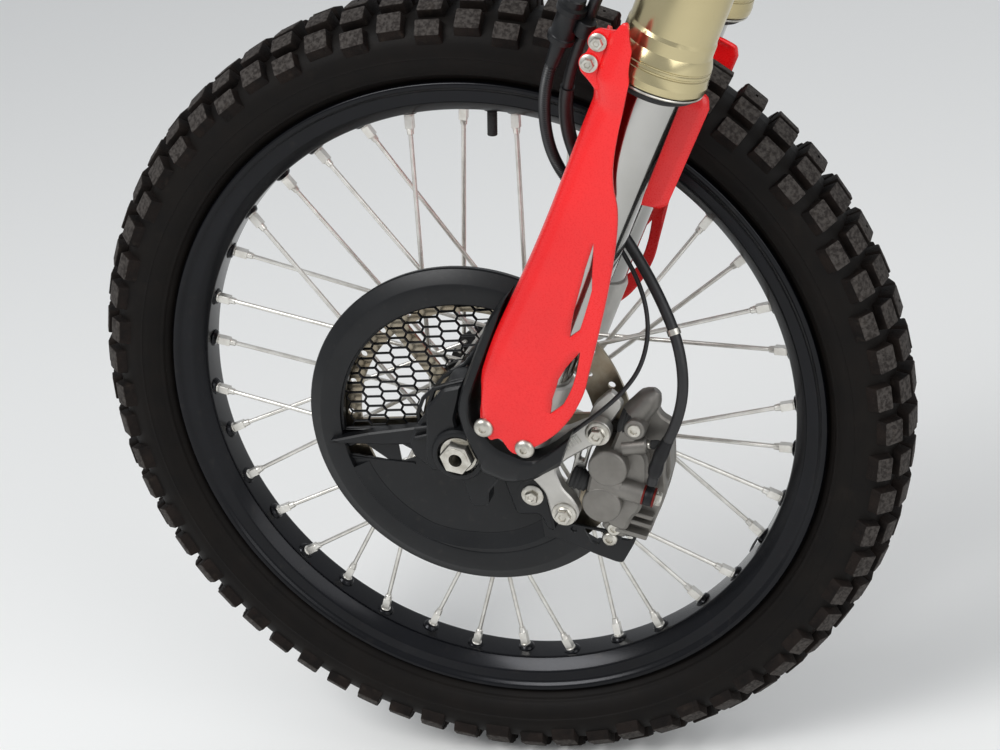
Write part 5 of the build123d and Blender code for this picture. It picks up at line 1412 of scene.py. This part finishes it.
@dataclass
class Caliper:
    """The sliding caliper with its two pistons, its bracket, boots and screws."""

    # Rounding, lower and upper height, bevel and corners of the body's plates: the body, the block on it, the waist
    # between the pistons, the bridge above them, three fins, the lower end, the fingers inside and the arms
    plates: tuple = ((5, 61.2, 72, 1.6, ((-13, -28), (-4, -36), (14, -46), (28, -47.5), (42, -44.5), (43.5, -30),
        (45.8, -14), (46.8, -1), (42, 13), (37.6, 44), (37.8, 61.6), (27.8, 64), (22, 72), (12, 78), (3, 72),
        (1, 32), (-14, 24))), (6, 70, 84.5, 2.6, ((-12, -26), (-2, -34), (14, -40), (24, -40), (26, -26),
        (31, -18), (31, 12), (27, 30), (22, 36), (8, 34), (-10, 26))), (4, 80, 94.4, 2.2, ((-13.4, -10),
        (0, -12), (12, -9), (14.6, -3), (13, 8), (4, 13), (-13.8, 11))), (4.5, 70, 89, 2.4, ((-4, 28), (10, 28),
        (17, 37), (14, 44), (21, 52), (19, 62), (12, 66.5), (3, 62), (-1, 52), (-2.4, 40))), (1.2, 66, 80, 0.8,
        ((15, -25.9), (41.5, -25.9), (42.1, -22.1), (15, -22.1))), (1.2, 66, 80, 0.8, ((15, -33.9), (42, -33.9),
        (42.6, -30.1), (15, -30.1))), (1.2, 66, 82, 0.8, ((15, -43.9), (41, -43.9), (41.6, -40.1), (15, -40.1))),
        (4, 62, 80, 2, ((2, -44), (12, -49), (24, -49.4), (24, -38), (8, -34))), (4, 38.2, 46.2, 1.6,
        ((-11, -33), (20, -35), (44, -28), (45.6, -10), (45.6, 12), (38, 43), (20, 47), (-11, 37))), (3, 45, 63,
        0.6, ((21, -35), (44, -28), (45.6, 12), (38, 43), (21, 47))))
    # Bosses: place, radius, face and the rounding of its edge; and the ring pressed into a piston's face
    bosses: tuple = ((-1.2, 17.5, 16.0, 95.0, 2.6), (0.8, -16.1, 16.0, 95.0, 2.6), (11.8, 56.6, 8.6, 91.6, 1.8))
    piston_ring: tuple = ((9.0, 94.8), (12.6, 94.8), (12.2, 95.0), (9.6, 94.95))
    # The slide pin's housing: its ends, and the radii between them
    housing: tuple = ((7.0, 60.0, 76.0), (20.4, 85.6, 72.0))
    housing_radii: tuple = (10.6, 11.2, 11.2, 10.8, 10.6, 10.4, 9.8, 7.6, 4.0)
    # Fittings: place and height on the caliper and tilt, then radius and height along the fitting
    low: tuple = (4.0, 0.0, 86.0, 0.0)
    low_barrel: tuple = ((0.1, 0.0), (8.8, 0.0), (8.8, 25.0), (8.2, 26.0), (0.1, 26.0))
    bleed: tuple = (10.0, 38.0, 86.0, 24.0)
    bleed_barrel: tuple = ((0.1, -4.0), (6.6, -4.0), (6.6, 14.6), (5.8, 15.8), (0.1, 15.8))
    bleed_screw: tuple = ((0.1, 15.6), (3.4, 15.6), (3.4, 17.6), (2.6, 18.6), (2.6, 19.4), (0.1, 19.4))
    bleed_cap: tuple = ((0.1, 18.6), (3.6, 18.6), (3.8, 19.4), (3.6, 24.2), (2.6, 26.0), (0.1, 26.2))
    pin: tuple = (-2.0, 56.4, 80.0, 0.0)
    pin_boot: tuple = ((0.1, 0), (9, 0), (10.4, 1.2), (10.8, 3), (10.2, 4), (10.8, 5.2), (10.2, 6.4),
        (10.8, 7.6), (10, 9), (0.1, 9.4))
    boot: tuple = (-16.0, -4.6, 84.0, -4.0)
    boot_folds: tuple = ((0.1, -13), (7, -13), (9.2, -11.4), (8.2, -9.4), (9.4, -7.6), (8.2, -5.8), (9.2, -4),
        (8, -2.2), (8.4, 0), (6, 2.4), (0.1, 2.6))
    # The hose's eye between its two washers: finish and profile
    banjo: tuple = (30.0, 0.0, 86.0, 0.0)
    banjo_stack: tuple = ((2, ((0.1, 0), (8.2, 0), (8.2, 1.5), (0.1, 1.5))), (1, ((0.1, 1.6), (7.4, 1.6),
        (7.9, 2.8), (7.9, 7.2), (7.4, 8.4), (0.1, 8.4))), (2, ((0.1, 8.5), (8.2, 8.5), (8.2, 10), (0.1, 10))))
    screw: tuple = ((0.1, 91.4), (5.4, 91.4), (5.4, 92.4), (5.0, 93.0), (2.8, 93.2), (2.6, 91.8), (0.1, 91.7))
    # Each screw's place, and how far it is set below the first
    screws: tuple = ((11.8, 56.6, 0.0), (13.8, -43.0, 11.6))
    # The bracket's outline and slot behind the leg, its bolts, and their flanges and shanks
    bracket_edge: tuple = ((47, -33), (67, -33), (65, -14), (62, 0), (58, 36), (64, 60), (69, 84), (55, 92),
        (47, 74), (47, 40), (51, 8))
    bracket_slot: tuple = ((53, 22), (57, 22), (56, 34), (52, 34))
    bolts: tuple = ((59.0, 58.7), (59.0, -22.3))
    flange: tuple = ((0.1, 92.0), (10.0, 92.0), (10.2, 92.6), (9.8, 93.4), (8.2, 94.0), (0.1, 94.2))
    shank: tuple = ((0.1, 72.4), (4.0, 72.4), (4.0, 93.0), (0.1, 93.0))

    def angled(self, a: float, b: float, high: float, lift: float) -> Datum:
        """Axes of a fitting: the third points away from the axle, tilted along the disc's rim.

        It is the first direction times the tilt's cosine plus the second times its sine.

        Args:
            a: the place away from the axle.
            b: the place along the disc's rim.
            high: the height left of the wheel's middle.
            lift: the tilt in degrees.

        Returns:
            The fitting's axes.
        """
        out, up = np.array(CALIPER.a), np.array(CALIPER.b)
        way = out * cos(radians(lift)) + up * sin(radians(lift))
        side = -out * sin(radians(lift)) + up * cos(radians(lift))
        return Datum(tuple(CALIPER.at((a, b, high))), (0.0, -1.0, 0.0), tuple(side), tuple(way))

    def casting(self) -> None:
        """The body's plates, the bosses, whose edges are quarter circles, and the barrels of its fittings."""
        shape = Shape()
        shape.slabs(CALIPER, self.plates)
        turn = np.linspace(0, pi / 2, 5)
        for a, b, radius, face, fillet in self.bosses:
            edge = zip(radius - fillet + fillet * np.cos(turn), face - fillet + fillet * np.sin(turn))
            shape.lathe(CALIPER, [(0.05, 61.0), (radius, 61.0), *edge, (0.05, face)], 48, centre=(a, b))
        for a, b, *_ in self.bosses[:2]:
            shape.lathe(CALIPER, self.piston_ring, 48, centre=(a, b))
        line = np.linspace(*self.housing, len(self.housing_radii))
        shape.tube(CALIPER.at(line), self.housing_radii, 40)
        shape.lathe(self.angled(*self.low), self.low_barrel, 40)
        shape.lathe(self.angled(*self.bleed), self.bleed_barrel, 32)
        shape.piece("caliper_casting", "caliper_grey", "caliper_body", sharp=30)

    def fittings(self) -> None:
        """The banjo with its washers and bolt, the bleed screw with its cap, the boots and the screws."""
        steel, rubber = Shape(), Shape()
        banjo, bleed = self.angled(*self.banjo), self.angled(*self.bleed)
        for mark, stops in self.banjo_stack:
            steel.lathe(banjo, stops, 36, mark=mark)
        steel.bolt(banjo, 0, 0, 10.0, 9.6, 6.0, 5.0, turn=0, dish=1.0)
        steel.lathe(bleed, self.bleed_screw, 24)
        rubber.lathe(bleed, self.bleed_cap, 28)
        rubber.lathe(self.angled(*self.pin), self.pin_boot, 32)
        rubber.lathe(self.angled(*self.boot), self.boot_folds, 32)
        for a, b, lower in self.screws:
            steel.lathe(CALIPER, np.array(self.screw) - (0, lower), 32, centre=(a, b))
        steel.piece("caliper_screws", "fastener_zinc", "hose_banjo", extra=(Stock.CLAMP, Stock.WASHER), sharp=28)
        rubber.piece("caliper_boots", "seal_rubber", sharp=40)

    def bracket(self) -> None:
        """The bracket's plate with its rounded slot, and the two flanged bolts."""
        shape, bolts = Shape(), Shape()
        shape.plate(FORK, rounded(self.bracket_edge, 5.0), 72.2, 80.0, 0.9, (rounded(self.bracket_slot, 1.8),))
        shape.piece("caliper_bracket_machined", "cast_alloy", "caliper_bracket", sharp=30)
        for a, b in self.bolts:
            bolts.lathe(FORK, self.flange, 36, centre=(a, b))
            bolts.bolt(FORK, a, b, 93.6, 11.4, 7.4, 6.2, turn=22, dish=1.4)
            bolts.lathe(FORK, self.shank, 24, centre=(a, b))
        bolts.piece("bracket_bolts_flanged", "fastener_zinc", "bracket_bolts", sharp=28)

    def build(self) -> None:
        """Makes the caliper and what is fixed to it."""
        self.casting()
        self.fittings()
        self.bracket()


# Camera, light and floor

@dataclass
class Studio:
    """The floor, the soft light and the camera at the photograph's angle."""

    tyre_radius: float = 347.0
    floor_half: float = 30000.0
    # The camera's place from the axle in millimetres, its directions, and its focal length in the photo's pixels
    eye: tuple = (532.5, -1453.3, 710.1)
    forward: tuple = (-0.3105, 0.8580, -0.4093)
    up: tuple = (0.0290, 0.4389, 0.8981)
    focal_px: float = 2035.4
    image_width: float = 1000
    sensor: float = 36.0
    # Of each lamp: name, place from the axle and side of its square in metres, power in watts
    lamps: tuple = (("key", (-1.4, -2.0, 2.6), 1.6, 70), ("fill", (2.4, -1.6, 1.2), 2.2, 30))
    # The world's light and its strength, and the background that the camera sees
    light: tuple = ("eef1f5", 0.62)
    background: str = "cdcfd2"

    def camera(self) -> None:
        """A plain lens whose focal length in pixels was fitted to the wheel in the photograph."""
        data = bpy.data.cameras.new("camera")
        data.sensor_fit, data.sensor_width = "HORIZONTAL", self.sensor
        data.lens = self.focal_px / self.image_width * self.sensor
        data.clip_start = 0.05
        camera = bpy.data.objects.new("camera", data)
        bpy.context.collection.objects.link(camera)
        back = -Vector(self.forward).normalized()
        right = Vector(self.up).cross(back).normalized()
        turn = Matrix((right, back.cross(right), back)).transposed()
        camera.matrix_world = Matrix.Translation((Vector(LAYOUT.axle) + Vector(self.eye)) * MM) @ turn.to_4x4()
        bpy.context.scene.camera = camera

    def lamp(self, name: str, place: tuple, size: float, power: float) -> None:
        """A square soft lamp aimed at the middle of the wheel.

        Args:
            name: the lamp's name.
            place: its place from the axle, in metres.
            size: the side of the square in metres.
            power: its power in watts.
        """
        data = bpy.data.lights.new(name, "AREA")
        data.size, data.energy = size, power
        lamp = bpy.data.objects.new(name, data)
        bpy.context.collection.objects.link(lamp)
        lamp.location = Vector(LAYOUT.axle) * MM + Vector(place)
        aim = Vector(LAYOUT.axle) * MM - lamp.location
        lamp.rotation_euler = aim.to_track_quat("-Z", "Y").to_euler()

    def floor(self) -> None:
        """A plain pale floor under the tyre."""
        corners = np.array([(-1, -1, 0), (1, -1, 0), (1, 1, 0), (-1, 1, 0)]) * self.floor_half
        corners += (0, 0, LAYOUT.axle[2] - self.tyre_radius)
        mesh = bpy.data.meshes.new("floor")
        mesh.from_pydata((corners * MM).tolist(), [], [(0, 1, 2, 3)])
        floor = bpy.data.objects.new("floor", mesh)
        bpy.context.collection.objects.link(floor)
        material = bpy.data.materials.new("pale_floor")
        material.use_nodes = True
        material.node_tree.nodes.clear()
        shader = add(material.node_tree, "BsdfPrincipled", Base_Color=linear("f3f3f1"), Roughness=0.9)
        add(material.node_tree, "OutputMaterial", Surface=shader.outputs[0])
        mesh.materials.append(material)

    def sky(self) -> None:
        """A pale world that lights the object at a plain level and shows as a pale background."""
        world = bpy.data.worlds.new("sky")
        bpy.context.scene.world = world
        world.use_nodes = True
        tree = world.node_tree
        tree.nodes.clear()
        seen = add(tree, "LightPath").outputs["Is Camera Ray"]
        light = add(tree, "Background", Color=linear(self.light[0]), Strength=self.light[1])
        view = add(tree, "Background", Color=linear(self.background), Strength=1.0)
        both = add(tree, "MixShader", i0=seen, i1=light.outputs[0], i2=view.outputs[0])
        add(tree, "OutputWorld", Surface=both.outputs[0])

    def build(self) -> None:
        """Sets the whole stage."""
        bpy.context.scene.view_settings.view_transform = "Standard"
        self.camera()
        self.floor()
        self.sky()
        for lamp in self.lamps:
            self.lamp(*lamp)


def main() -> None:
    """Builds each sub-assembly in order and reports it."""
    logging.basicConfig(level=logging.INFO, format="%(message)s")
    Studio().build()
    Stock().dress()
    for assembly in (Tyre, Rim, Spokes, Guard, Legs, Hoses, Cover, Casting, Caliper):
        assembly().build()
    for node, width in (("fork_bottom_right", 1.6), ("lower_clamp", 1.6), ("top_clamp", 1.6), ("stem_nut", 1.2),
                        ("fork_cap_left", 0.8), ("fork_cap_right", 0.8)):
        soften(node, width)


if __name__ == "__main__":
    main()
